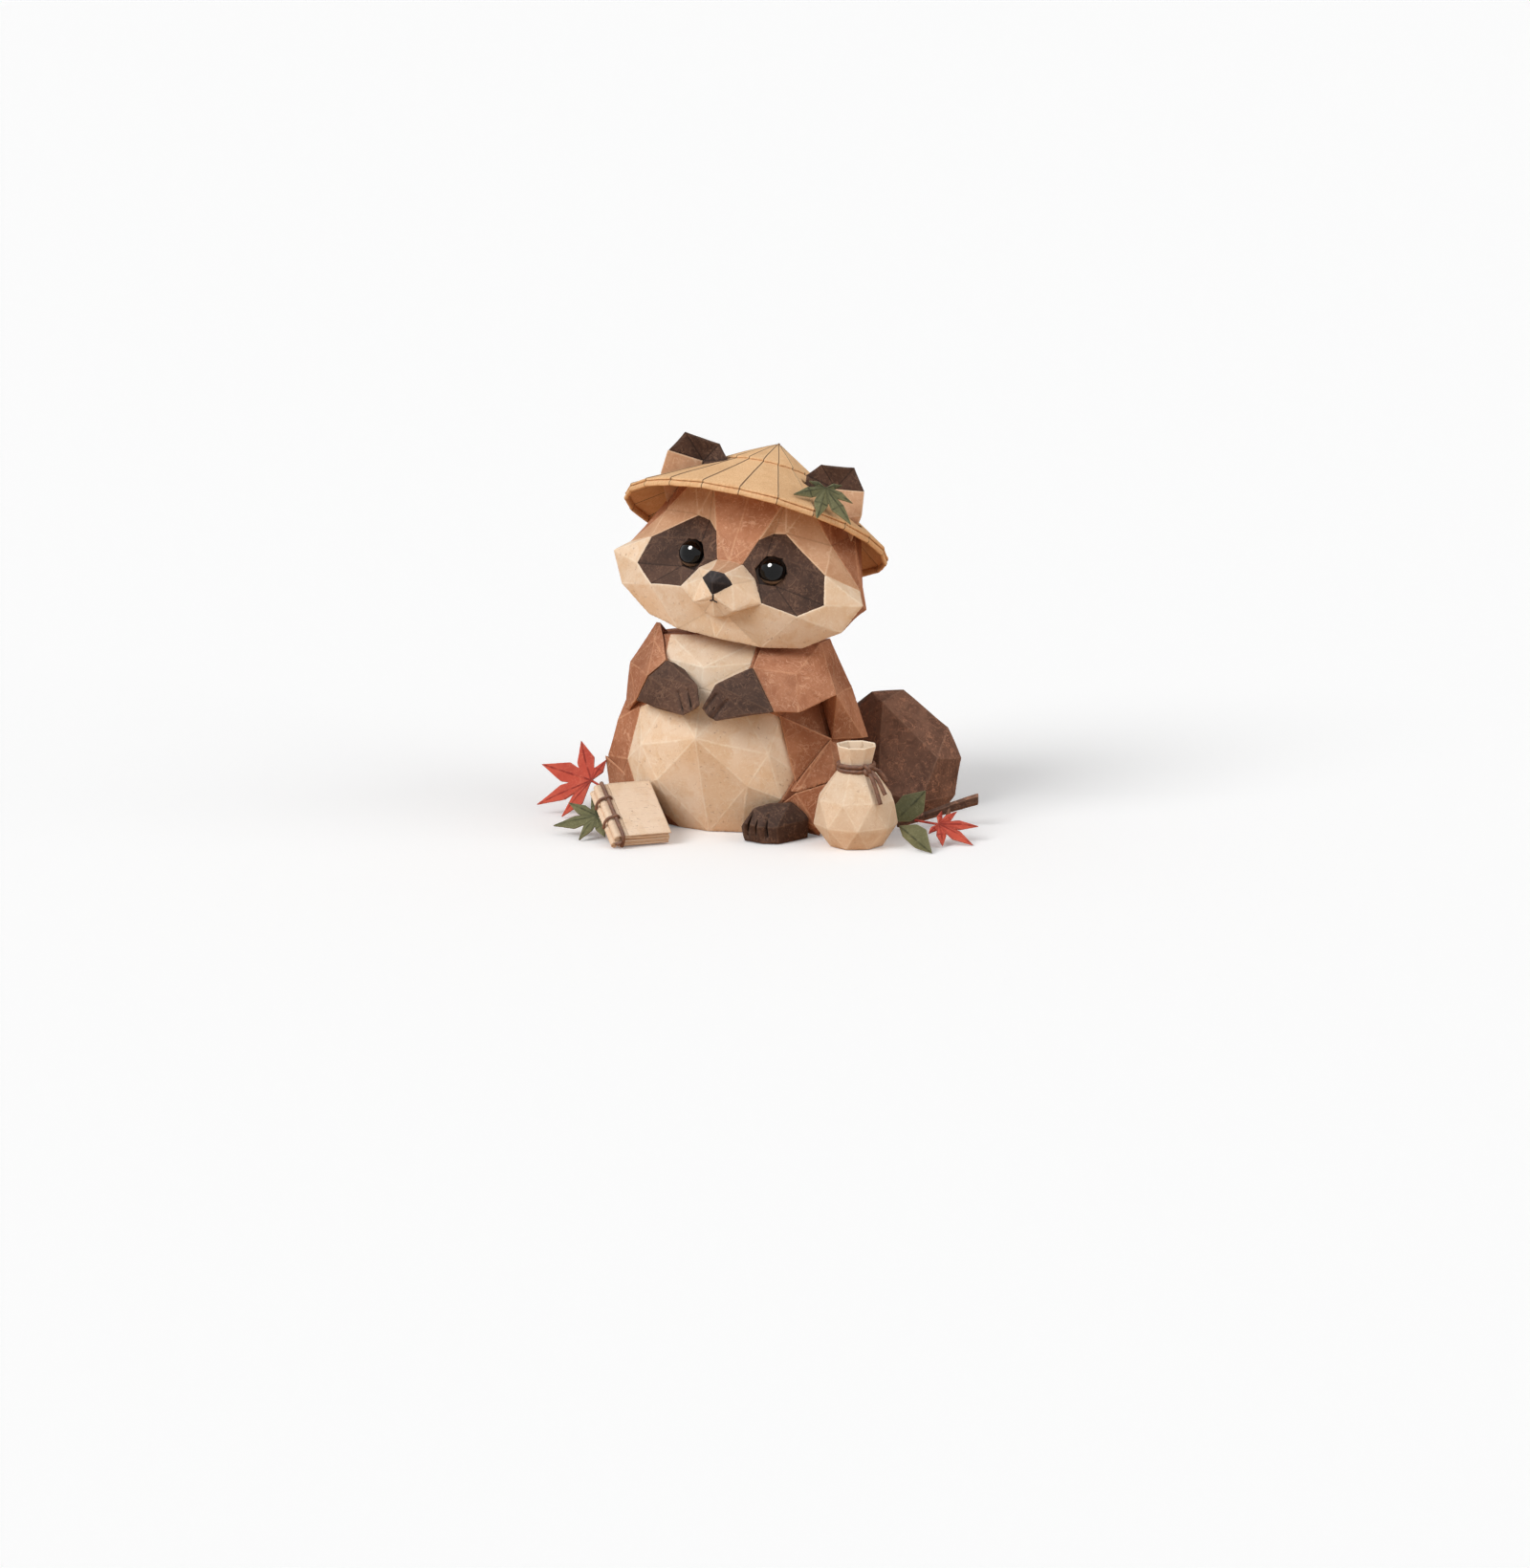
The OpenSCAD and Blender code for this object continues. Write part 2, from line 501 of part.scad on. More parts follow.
paw_right_shares = [
    [0.496, -0.74, 0.812], [0.238, -1, 0.748], [0.132, -1.08, 0.642], [0.22, -1.1, 0.601],
    [0.272, -1.1, 0.589], [0.534, -1.02, 0.622], [0.784, -0.94, 0.628], [0.3, -0.5, 0.62],
    [0.7, -0.5, 0.68], [0.45, -0.5, 0.78],
    [0.14, -0.8, 0.62], [0.24, -0.8, 0.58]
];
paw_left_shares = [
    [-0.352, -0.72, 0.817], [-0.518, -0.76, 0.738], [-0.674, -0.68, 0.609], [-0.446, -0.84, 0.6],
    [-0.318, -0.92, 0.608], [-0.07, -1.04, 0.591], [0.054, -1.08, 0.628], [0.118, -1.08, 0.655],
    [0.06, -1, 0.74], [-0.072, -0.92, 0.76], [0, -0.8, 0.62], [-0.3, -0.5, 0.62], [-0.5, -0.4, 0.64],
    [-0.3, -0.5, 0.78]
];
foot_shares = [
    [0.41, -0.72, 0], [0.46, -0.82, 0], [0.66, -0.88, 0], [0.8, -0.84, 0], [0.96, -0.5, 0], [0.8, -0.36, 0],
    [0.44, -0.48, 0], [0.4, -0.76, 0.06], [0.48, -0.89, 0.09], [0.62, -0.92, 0.08], [0.8, -0.88, 0.08],
    [0.54, -0.8, 0.155], [0.66, -0.72, 0.175], [0.84, -0.64, 0.18], [0.98, -0.54, 0.1], [0.8, -0.4, 0.16],
    [0.52, -0.52, 0.14]
];
fold_upper_shares = [
    [0.69, -0.54, 0.575], [1.12, -0.27, 0.45], [0.85, -0.52, 0.265], [0.6, -0.3, 0.5], [0.9, 0, 0.44],
    [0.7, -0.2, 0.3]
];
fold_middle_shares = [
    [1.11, -0.3, 0.45], [0.82, -0.58, 0.225], [0.88, -0.56, 0.22], [1.2, -0.36, 0.27], [1.18, -0.1, 0.36],
    [0.9, 0, 0.4], [0.7, -0.3, 0.25]
];
fold_lower_shares = [
    [1.19, -0.36, 0.268], [0.86, -0.57, 0.22], [0.72, -0.61, 0.16], [1.04, -0.48, 0.05], [1.04, -0.4, 0],
    [0.8, -0.3, 0], [0.9, 0, 0.2]
];
fold_left_shares = [
    [-1.19, -0.18, 0.276], [-0.8, -0.48, 0.21], [-0.82, -0.47, 0.1], [-1.1, -0.28, 0.1], [-1, 0, 0.25],
    [-0.7, -0.2, 0.15]
];
// Slits between the toes: upper end, lower end, as shares of body_size
paw_right_slit_shares = [
    [[0.33, -1.06, 0.71], [0.24, -1.1, 0.637]], [[0.26, -1.06, 0.721], [0.17, -1.1, 0.662]]
];
paw_left_slit_shares = [
    [[-0.05, -1, 0.709], [0.02, -1.06, 0.635]], [[-0.15, -1, 0.692], [-0.08, -1.04, 0.617]]
];
foot_slit_shares = [
    [[0.54, -0.86, 0.13], [0.5, -0.9, 0.03]], [[0.61, -0.88, 0.135], [0.6, -0.92, 0.03]],
    [[0.69, -0.87, 0.13], [0.71, -0.9, 0.03]]
];

// A narrow cut between two toes, wider at its lower end
slit_t = paper_t;
slit_spread_share = 1.5;
slit_reach = paper_t * 3;
module slit(ends) {
    a = scaled(ends[0], body_size);
    b = scaled(ends[1], body_size);
    out = [0, -slit_reach, 0];
    side = [slit_t / 2, 0, 0];
    lump([
        a + out - side / 2, a + out + side / 2, a - out / 4 - side / 4, a - out / 4 + side / 4,
        b + out - side * slit_spread_share, b + out + side * slit_spread_share,
        b - out / 2 - side / 2, b - out / 2 + side / 2
    ]);
}
module slits(list) for (s = list) slit(s);
module body_lump(shares) lump(at(shares, body_size));

module sleeve_right() color("#b0744f") difference() {
    body_lump(sleeve_right_shares);
    body_solid();
    neck_bore();
    head_room();
}
module coat_flare() color("#9a6146") difference() {
    body_lump(flare_shares);
    body_solid();
    body_lump(sleeve_right_shares);
    head_room();
}
module sleeve_left() color("#b0744f") difference() {
    body_lump(sleeve_left_shares);
    body_solid();
    neck_bore();
    head_room();
}
module paw_right() color("#4f3a33") difference() {
    body_lump(paw_right_shares);
    body_solid();
    body_lump(sleeve_right_shares);
    slits(paw_right_slit_shares);
}
module paw_left() color("#4f3a33") difference() {
    body_lump(paw_left_shares);
    body_solid();
    body_lump(sleeve_left_shares);
    body_lump(paw_right_shares);
    slits(paw_left_slit_shares);
}
module foot_solid() difference() {
    body_lump(foot_shares);
    body_solid();
    slits(foot_slit_shares);
}
module foot_right() color("#4f3a33") foot_solid();
module foot_left() color("#4f3a33") difference() {
    other_side() foot_solid();
    book_room();
}
module hip_fold_upper() color("#a5694b") difference() {
    body_lump(fold_upper_shares);
    body_solid();
    body_lump(sleeve_right_shares);
    body_lump(flare_shares);
}
module hip_fold_middle() color("#9c6247") difference() {
    body_lump(fold_middle_shares);
    body_solid();
    body_lump(fold_upper_shares);
    body_lump(flare_shares);
    pouch_room();
}
module hip_fold_lower() color("#8f573f") difference() {
    body_lump(fold_lower_shares);
    body_solid();
    body_lump(fold_middle_shares);
    body_lump(foot_shares);
    pouch_room();
}
module hip_fold_left() color("#9c6247") difference() {
    body_lump(fold_left_shares);
    body_solid();
    other_side() body_lump(foot_shares);
    book_room();
}

// Room that the head needs to turn over the shoulders
module head_room() on_head() cylinder(r = neck_d * 0.55, h = over, $fn = 24);

// Corners of the tail as shares of its half sizes
tail_shares = [
    [-0.61, 0, 1], [-0.19, 0.54, 0.98], [-0.94, 0.2, 0.76], [-0.33, -0.29, 0.89], [0.63, 0.62, 0.36],
    [0.94, 0.42, -0.12], [0.89, 0.2, -0.71], [0.7, 0, -1], [-0.33, -0.54, 0.29], [0.7, -0.29, 0],
    [-0.22, -0.96, -0.5], [0.52, -0.75, -0.71], [-0.37, -0.83, -1], [0.44, -0.54, -1], [-0.37, 1, 0.29],
    [0.37, 1.04, -0.21], [0.44, 0.71, -1], [-0.52, 0.79, -1], [-0.96, 0.29, -0.64], [-0.96, -0.29, 0.07],
    [-1.3, -0.4, -0.6], [-1.25, -0.45, 0.2], [-1.2, 0, -0.9]
];
tail_place_share = [1.44, 0.9, 0];
tail_size = [tail_w / 2, tail_d / 2, tail_h / 2];
module tail() color("#5a4036") difference() {
    translate(scaled(tail_place_share, body_size) + [0, 0, tail_size.z]) lump(at(tail_shares, tail_size));
    body_solid();
    body_lump(flare_shares);
}

// The pouch stands beside the hip, its middle a share of its radius away from this place on the body
pouch_place_share = [1.04, -0.56, 0];
pouch_stand_share = 1.051;
// Rings of the pouch: radius share, height share, and whether its corners sit between those of the ring below
pouch_ring_shares = [[0.67, 0, 0], [1, 0.21, 1], [0.93, 0.47, 0], [0.37, 0.78, 0], [0.5, 1, 0]];
pouch_sides = 8;
function pouch_ring_r(k, inset) =
    (k == 3 ? throat_r : (k == 4 ? mouth_r : pouch_r * pouch_ring_shares[k].x)) - inset;
function pouch_ring(k, inset, rise) = [for (i = [0 : pouch_sides - 1])
    let (a = (i + pouch_ring_shares[k].z / 2) * 360 / pouch_sides, r = pouch_ring_r(k, inset))
    [r * cos(a), r * sin(a), pouch_ring_shares[k].y * pouch_h + rise]];
function pouch_band(k, low_turned, high_turned) = let (n = pouch_sides, a = k * n, b = (k + 1) * n)
    [for (i = [0 : n - 1]) let (j = (i + 1) % n) each (high_turned > low_turned)
        ? [[a + i, b + i, a + j], [a + j, b + i, b + j]]
        : [[a + i, b + i, b + j], [a + i, b + j, a + j]]];
pouch_floor_t = pouch_wall * 2;
// How much thicker than at its mouth the pouch's wall is at each ring
pouch_wall_shares = [1.6, 1.6, 1.6, 1, 1];
module pouch_form(rings) {
    polyhedron(points = [for (r = rings) each r], faces = concat(
        [[for (i = [0 : pouch_sides - 1]) i]],
        [for (k = [0 : 3]) each pouch_band(k, pouch_ring_shares[k].z, pouch_ring_shares[k + 1].z)],
        [[for (i = [pouch_sides - 1 : -1 : 0]) 4 * pouch_sides + i]]
    ));
}
module pouch_solid(play = 0) pouch_form([for (k = [0 : 4]) pouch_ring(k, -play, k == 4 ? play : 0)]);
module pouch_cavity() pouch_form([for (k = [0 : 4])
    pouch_ring(k, pouch_wall * pouch_wall_shares[k], k == 0 ? pouch_floor_t : (k == 4 ? over : 0))]);
pouch_size = [pouch_r, pouch_r, pouch_h];
module at_pouch() translate(scaled(pouch_place_share, body_size) + [pouch_stand_share * pouch_r, 0, 0])
    children();
module pouch_room() at_pouch() pouch_solid(part_gap);
module pouch() color("wheat") at_pouch() difference() {
    pouch_solid();
    pouch_cavity();
}
throat_rise = pouch_ring_shares[3].y * pouch_h;
module tie_turn(rise) translate([0, 0, throat_rise + rise]) rotate_extrude($fn = 32)
    translate([throat_r + tie_d * 0.45, 0]) circle(d = tie_d, $fn = 12);
module tie_cord() color("#553b2c") at_pouch() difference() {
    union() {
        tie_turn(-tie_d * 0.45);
        tie_turn(tie_d * 0.45);
    }
    pouch_solid();
}
// Outer radius of the cord's turns, which the knot sits against
turns_r = throat_r + tie_d * 0.95;
knot_turn = -38;
tail_sides = 10;
// Tails of the knot: how far out, sideways and down they run, as shares of the pouch's radius and height
knot_tail_shares = [
    [[0.5, 0, 0.78], [0.74, 0.02, 0.66], [0.96, 0.06, 0.47]],
    [[0.52, 0.02, 0.78], [0.74, 0.14, 0.69], [0.9, 0.23, 0.55]],
    [[0.5, 0.06, 0.79], [0.54, 0.3, 0.75], [0.6, 0.46, 0.65]]
];
module tie_knot() color("#553b2c") at_pouch() difference() {
    rotate([0, 0, knot_turn]) union() {
        translate([turns_r + tie_d * 0.3, 0, throat_rise]) sphere(d = tie_d * 2.2, $fn = 16);
        for (tail = knot_tail_shares) strand(at(tail, pouch_size), tie_d, tail_sides);
    }
    translate([0, 0, throat_rise - pouch_h / 4]) cylinder(r = turns_r, h = pouch_h / 2, $fn = 32);
    pouch_solid();
}

// The notebook lies on its lower edge and leans on the left foot
book_place_share = [-0.6, -1.51, 0];
book_heading = 39.3;
book_slope = 28.2;
roll_inset = roll_d * 0.5;
strip_w = roll_d * 2.3;
book_top = roll_d * 0.1 + bundle_t * 2 + part_gap;
module at_book() translate(scaled(book_place_share, body_size)) rotate([0, 0, book_heading])
    rotate([book_slope, 0, 0]) children();
module book_room() at_book() translate([-part_gap, -part_gap, -part_gap])
    cube([book_w + 2 * part_gap, book_l + 2 * part_gap, book_top + roll_d * 2]);
// One bundle of folded pages, with grooves between its layers
page_layers = 3;
page_groove = bundle_t * 0.32 / page_layers;
module bundle(inset) difference() {
    cube([book_w - inset, book_l, bundle_t]);
    for (k = [1 : page_layers - 1]) translate([0, -over, bundle_t * (k - 0.16) / page_layers]) {
        translate([book_w - inset - cover_t, 0, 0]) cube([cover_t + over, book_l + 2 * over, page_groove]);
        for (y = [0, book_l + over - cover_t]) translate([-over, y, 0])
            cube([book_w - inset + 2 * over, cover_t + over, page_groove]);
    }
}
module rolls() for (k = [0, 1])
    translate([roll_inset + k * roll_d * 0.35, 0, roll_inset + k * roll_d * 0.98])
    rotate([-90, 0, 0]) cylinder(d = roll_d, h = book_l, $fn = 24);
module book_lower() color("wheat") at_book() difference() {
    translate([roll_inset, 0, 0]) bundle(roll_inset);
    rolls();
}
module book_upper() color("wheat") at_book() difference() {
    translate([roll_inset, 0, bundle_t + part_gap / 2]) union() {
        bundle(roll_inset);
        translate([0, 0, over]) cube([strip_w - roll_inset, book_l, bundle_t - over + cover_t]);
    }
    rolls();
}
cover_rise = bundle_t * 2 + part_gap;
module book_cover() color("wheat") at_book() translate([strip_w + part_gap, 0, cover_rise])
    cube([book_w - strip_w - part_gap, book_l, cover_t]);
module book_rolls() color("#e3c9a0") at_book() rolls();
// Binding: a cord along the spine and three loops round the rolls
loop_shares = [0.03, 0.34, 0.68];
bind_rise = cover_rise + cover_t + bind_d * 0.4;
module book_binding() color("#553b2c") at_book() difference() {
    union() {
        strand([[strip_w - bind_d, 0, bind_rise], [strip_w - bind_d, book_l, bind_rise]], bind_d);
        for (s = loop_shares) translate([0, s * book_l + bind_d / 2, 0]) strand([
            [strip_w - bind_d, 0, bind_rise], [roll_inset + roll_d * 0.35, 0, bind_rise + bind_d * 0.3],
            [-bind_d * 0.2, 0, roll_d * 1.7], [-bind_d * 0.5, 0, roll_d * 0.8]
        ], bind_d);
    }
    rolls();
    translate([roll_inset, 0, bundle_t + part_gap / 2]) cube([book_w - roll_inset, book_l, bundle_t]);
    translate([roll_inset, 0, bundle_t + part_gap / 2])
        cube([strip_w - roll_inset, book_l, bundle_t + cover_t]);
    translate([0, 0, -bundle_t]) cube([book_w, book_l, 2 * bundle_t]);
}

// Leaves: lobes as [angle, length share]. Two lie beside the notebook, placed in shares of the body.
// The others and the twig lie beside the pouch, placed in shares of the pouch from its middle.
red_place_share = [-1.268, -0.326, 0.163];
red_lobe_shares = [[-292, 0.55], [-241, 1], [-192, 1.25], [-149, 1.25], [-117, 0.96]];
green_place_share = [-0.872, -1.138, 0.094];
green_lobe_shares = [[-229, 0.67], [-195, 0.97], [-157, 1.07], [-102, 0.7], [-47, 0.68]];
small_place_share = [1.785, 0.79, 0.183];
small_lobe_shares = [[-138, 0.5], [-94, 0.8], [-45, 1.14], [-10, 1.12], [30, 0.74], [64, 0.5]];
module leaf_at(place, heading, tilt)
    translate(place) rotate([0, 0, heading]) rotate([tilt, 0, 0]) children();
module red_maple() color("#c84b37") difference() {
    leaf_at(scaled(red_place_share, body_size), -3.6, 53.2)
        maple(red_lobe_shares, red_l, leaf_t, 0, [red_l * 0.5, -red_l * 0.2, 0]);
    body_solid();
    body_lump(fold_left_shares);
    book_room();
}
module green_maple() color("#5f5f3c") difference() {
    leaf_at(scaled(green_place_share, body_size), -13.6, 39.6)
        maple(green_lobe_shares, green_l, leaf_t, 0, [green_l * 0.2, green_l * 0.1, 0]);
    book_room();
}
module small_maple() color("#c84b37") at_pouch() leaf_at(scaled(small_place_share, pouch_size), 34.8, 38.1)
    maple(small_lobe_shares, small_red_l, leaf_t, 0, [-small_red_l * 0.6, small_red_l * 0.2, 0]);

// A plain pointed leaf folded along its middle, from its base to its tip
blade_shares = [
    [0, 0, 0], [0.2, 0.22, 0], [0.55, 0.26, 0], [1, 0, 0], [0.6, -0.26, 0], [0.25, -0.22, 0], [0.3, 0, 0.04],
    [0.65, 0, 0.03]
];
// The lower leaf has one half folded under
folded_blade_shares = [
    [0, 0, 0], [0.3, 0.24, 0], [0.55, 0.28, 0], [1, 0, 0], [0.62, -0.13, 0], [0.25, -0.12, 0], [0.3, 0, 0.04],
    [0.65, 0, 0.03]
];
blade_faces = [[0, 1, 6], [1, 2, 7, 6], [2, 3, 7], [3, 4, 7], [4, 5, 6, 7], [5, 0, 6]];
module blade(shares) let (points = [for (s = shares) s * blade_l])
    sheet(shifted(points, [0, 0, leaf_t]), points, fans(blade_faces));
upper_place_share = [0.708, 0.744, 0.17];
lower_place_share = [1.005, 0.18, 0.196];
module leaf_upper() color("#5f5f3c") at_pouch() difference() {
    translate(scaled(upper_place_share, pouch_size)) rotate([51.3, -28.5, 64.5]) blade(blade_shares);
    twig_run();
}
module leaf_lower() color("#5f5f3c") at_pouch()
    translate(scaled(lower_place_share, pouch_size)) rotate([54.4, 21.9, -28.3]) blade(folded_blade_shares);

// The twig is a folded strip that widens towards its cut end; it stands on a prong
twig_shares = [[0.513, 1.564, 0.064], [0.974, 2.128, 0.117], [1.513, 2.487, 0.191], [2.154, 2.641, 0.277]];
twig_end_share = 1.8;
twig_heading = 22;
twig_flat_share = 0.6;
prong_shares = [[1.513, 2.462, 0.191], [1.513, 2.282, 0.0245]];
function twig_thickness(i) = twig_d * (1 + (twig_end_share - 1) * i / (len(twig_shares) - 1));
module twig_fold(i) translate(scaled(twig_shares[i], pouch_size)) rotate([0, 90, twig_heading])
    scale([1, twig_flat_share, 1]) cylinder(d = twig_thickness(i), h = leaf_t, $fn = 6);
module twig_run() {
    for (i = [1 : len(twig_shares) - 1]) hull() {
        twig_fold(i - 1);
        twig_fold(i);
    }
    strand(at(prong_shares, pouch_size), twig_d * 0.7);
}
module twig() color("#5a4338") at_pouch() twig_run();

head_form();
face_mask();
muzzle_left();
muzzle_right();
lower_lip();
nose_bridge();
nose();
forehead();
brow_left();
brow_right();
eye_patch_left();
eye_patch_right();
eye_left();
eye_right();
head_back();
neck_tube();
ear_left();
ear_right();
ear_lining_left();
ear_lining_right();
hat_cone();
hat_cap();
hat_tip();
hat_rim();
hat_leaf();
body_form();
belly();
chest();
coat();
base_card();
sleeve_left();
sleeve_right();
coat_flare();
paw_left();
paw_right();
hip_fold_upper();
hip_fold_middle();
hip_fold_lower();
hip_fold_left();
foot_left();
foot_right();
tail();
pouch();
tie_cord();
tie_knot();
book_lower();
book_upper();
book_cover();
book_rolls();
book_binding();
red_maple();
green_maple();
leaf_upper();
leaf_lower();
small_maple();
twig();
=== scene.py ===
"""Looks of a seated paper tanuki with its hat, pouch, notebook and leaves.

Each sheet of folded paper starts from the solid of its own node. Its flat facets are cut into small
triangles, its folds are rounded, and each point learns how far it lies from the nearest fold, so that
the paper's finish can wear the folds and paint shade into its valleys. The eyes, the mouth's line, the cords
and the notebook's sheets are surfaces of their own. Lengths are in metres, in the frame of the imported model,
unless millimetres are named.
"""

import json
import logging
import math
from collections.abc import Callable, Sequence
from dataclasses import dataclass, field
from enum import Enum
from functools import cached_property, reduce

import bpy
import numpy as np
from mathutils import Matrix
from mathutils.bvhtree import BVHTree

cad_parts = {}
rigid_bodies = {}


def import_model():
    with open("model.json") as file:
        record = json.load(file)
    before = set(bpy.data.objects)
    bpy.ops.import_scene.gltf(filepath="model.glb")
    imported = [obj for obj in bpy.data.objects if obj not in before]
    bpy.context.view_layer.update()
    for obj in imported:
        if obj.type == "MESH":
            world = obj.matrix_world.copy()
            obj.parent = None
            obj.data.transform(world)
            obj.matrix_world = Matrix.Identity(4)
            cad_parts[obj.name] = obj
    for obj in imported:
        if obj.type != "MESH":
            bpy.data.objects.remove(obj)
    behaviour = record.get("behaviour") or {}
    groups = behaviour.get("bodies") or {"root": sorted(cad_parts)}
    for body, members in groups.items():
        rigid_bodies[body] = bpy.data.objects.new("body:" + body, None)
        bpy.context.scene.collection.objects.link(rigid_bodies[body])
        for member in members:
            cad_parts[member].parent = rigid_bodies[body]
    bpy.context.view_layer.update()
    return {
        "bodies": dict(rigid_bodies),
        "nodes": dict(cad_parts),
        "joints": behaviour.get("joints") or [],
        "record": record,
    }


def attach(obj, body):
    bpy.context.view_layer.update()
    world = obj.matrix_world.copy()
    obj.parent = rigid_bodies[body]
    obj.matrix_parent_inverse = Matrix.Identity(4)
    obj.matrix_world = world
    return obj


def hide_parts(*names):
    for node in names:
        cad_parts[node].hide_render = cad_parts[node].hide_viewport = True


log = logging.getLogger("tanuki")
Array = np.ndarray
Colour = tuple[float, float, float, float]
Triple = tuple[float, float, float]
Socket = bpy.types.NodeSocket
MM = 0.001
FAR = 20 * MM  # Distance given to a point that no fold is near
TOUCHING = 0.02 * MM  # Points that are closer than this are one
RIM_TURN = 62.0  # Degrees above which paper turns at a cut edge and not at a fold
CLOSED_SHARE = 0.02  # Size left to the closed end of a sheet or cord
PLEATS = 22
CLOUDS, BLOTCHES, SPOT_GROUPS, SPOTS, GRAIN = 38.0, 150.0, 90.0, 620.0, 900.0  # Features a metre in paper
LONG_HAIRS, SHORT_HAIRS, WORN_PATCHES, LUMPS = 170.0, 330.0, 240.0, 210.0
WHITE: Colour = (1.0, 1.0, 1.0, 1.0)


def shade(red: int, green: int, blue: int) -> Colour:
    """Linear colour of an sRGB one in 0 to 255: a power of 2.4 above a short straight part."""
    share = np.array([red, green, blue]) / 255.0
    linear = np.where(share > 0.04045, ((share + 0.055) / 1.055) ** 2.4, share / 12.92)
    return (*(float(x) for x in linear), 1.0)


def unit(vectors: Array) -> Array:
    """Each vector divided by its own length."""
    return vectors / np.maximum(np.linalg.norm(vectors, axis=-1, keepdims=True), 1e-12)


def turn(axis: str, degrees: float) -> Array:
    """Matrix of a turn about one axis of the frame, by the right-hand rule.

    Args:
        axis: x, y or z.
        degrees: how far it turns.

    Returns:
        The 3 by 3 matrix that a column vector is multiplied by.
    """
    c, s = math.cos(math.radians(degrees)), math.sin(math.radians(degrees))
    return {
        "x": np.array([[1, 0, 0], [0, c, -s], [0, s, c]]),
        "y": np.array([[c, 0, s], [0, 1, 0], [-s, 0, c]]),
        "z": np.array([[c, -s, 0], [s, c, 0], [0, 0, 1]]),
    }[axis]


@dataclass(frozen=True)
class Place:
    """A frame of its own, such as the leaning head's, in the frame of the whole figure."""

    origin: Array
    axes: Array = field(default_factory=lambda: np.eye(3))

    def out(self, points: Array) -> Array:
        """Points of this frame in the figure's frame: turned, then moved to the origin."""
        return np.asarray(points, float) @ self.axes.T + self.origin

    def home(self, points: Array) -> Array:
        """Points of the figure's frame in this one, the other way round."""
        return (np.asarray(points, float) - self.origin) @ self.axes

    def within(self, origin: Sequence[float], axes: Array) -> "Place":
        """A frame that is given inside this one."""
        return Place(self.out(np.array(origin, float)), self.axes @ axes)


HEAD = Place(np.array([10.0, 3.5, 117.1]) * MM, turn("y", 8.4))
HAT = HEAD.within(np.array([-4.8, 12.0, 20.0]) * MM, turn("y", -1.9) @ turn("x", -27.0))
BOOK = Place(np.array([-30.0, -75.5, 0.0]) * MM, turn("z", 39.3) @ turn("x", 28.2))
POUCH = Place(np.array([72.5, -28.0, 0.0]) * MM)


def drift(points: Array, reach: float, wavelength: float) -> Array:
    """Slow wander of hand-folded paper.

    For each axis it is a sum of six sine waves that run in seeded directions, so that sheets which
    meet wander alike.

    Args:
        points: where it is wanted, n by 3.
        reach: usual size of the movement.
        wavelength: usual distance from one crest to the next.

    Returns:
        The movement of each point, n by 3.
    """
    count = 6
    rng = np.random.default_rng(7)
    ways = unit(rng.normal(size=(count, 3)))
    pace = 2 * math.pi / (wavelength * rng.uniform(0.7, 1.6, count))
    phase = rng.uniform(0, 2 * math.pi, (count, 3))
    waves = np.sin((points @ ways.T * pace)[:, :, None] + phase)
    return reach * waves.sum(1) / math.sqrt(count)


@dataclass
class Surface:
    """Points, faces of three or four corners, and named values that each point carries."""

    points: Array
    faces: Array
    values: dict[str, Array] = field(default_factory=dict)

    def joined(self, other: "Surface") -> "Surface":
        """This surface and another as one, with the values that both carry."""
        return Surface(
            np.vstack([self.points, other.points]),
            np.vstack([self.faces, other.faces + len(self.points)]),
            {k: np.concatenate([v, other.values[k]]) for k, v in self.values.items() if k in other.values},
        )

    def mesh(self, name: str) -> bpy.types.Object:
        """Makes the surface a smooth-shaded object at the origin.

        Args:
            name: name of the object and its mesh.

        Returns:
            The object, linked into the scene.
        """
        mesh = bpy.data.meshes.new(name)
        corners = self.faces.shape[1]
        mesh.vertices.add(len(self.points))
        mesh.vertices.foreach_set("co", self.points.astype(np.float32).ravel())
        mesh.loops.add(self.faces.size)
        mesh.loops.foreach_set("vertex_index", self.faces.astype(np.int32).ravel())
        mesh.polygons.add(len(self.faces))
        mesh.polygons.foreach_set("loop_start", np.arange(0, self.faces.size, corners, dtype=np.int32))
        mesh.polygons.foreach_set("use_smooth", np.ones(len(self.faces), bool))
        mesh.update(calc_edges=True)
        for key, value in self.values.items():
            layer = mesh.attributes.new(key, "FLOAT", "POINT")
            layer.data.foreach_set("value", value.astype(np.float32))
        mesh.validate()
        obj = bpy.data.objects.new(name, mesh)
        bpy.context.scene.collection.objects.link(obj)
        return obj


def together(pieces: Sequence[Surface]) -> Surface:
    """Several surfaces as one."""
    return reduce(Surface.joined, pieces)


def grid(points: Array, round_u: bool = False, round_v: bool = False, **values: Array) -> Surface:
    """A grid of points joined into four-cornered faces.

    Args:
        points: rows by columns by 3.
        round_u: the last row joins the first.
        round_v: the last column joins the first.
        values: rows by columns, a value of each point.

    Returns:
        The surface, whose faces look along rows cross columns.
    """
    rows, columns = points.shape[:2]
    index = np.arange(rows * columns).reshape(rows, columns)
    index = np.vstack([index, index[:1]]) if round_u else index
    index = np.hstack([index, index[:, :1]]) if round_v else index
    faces = np.stack([index[:-1, :-1], index[1:, :-1], index[1:, 1:], index[:-1, 1:]], -1).reshape(-1, 4)
    return Surface(points.reshape(-1, 3), faces, {k: v.ravel() for k, v in values.items()})


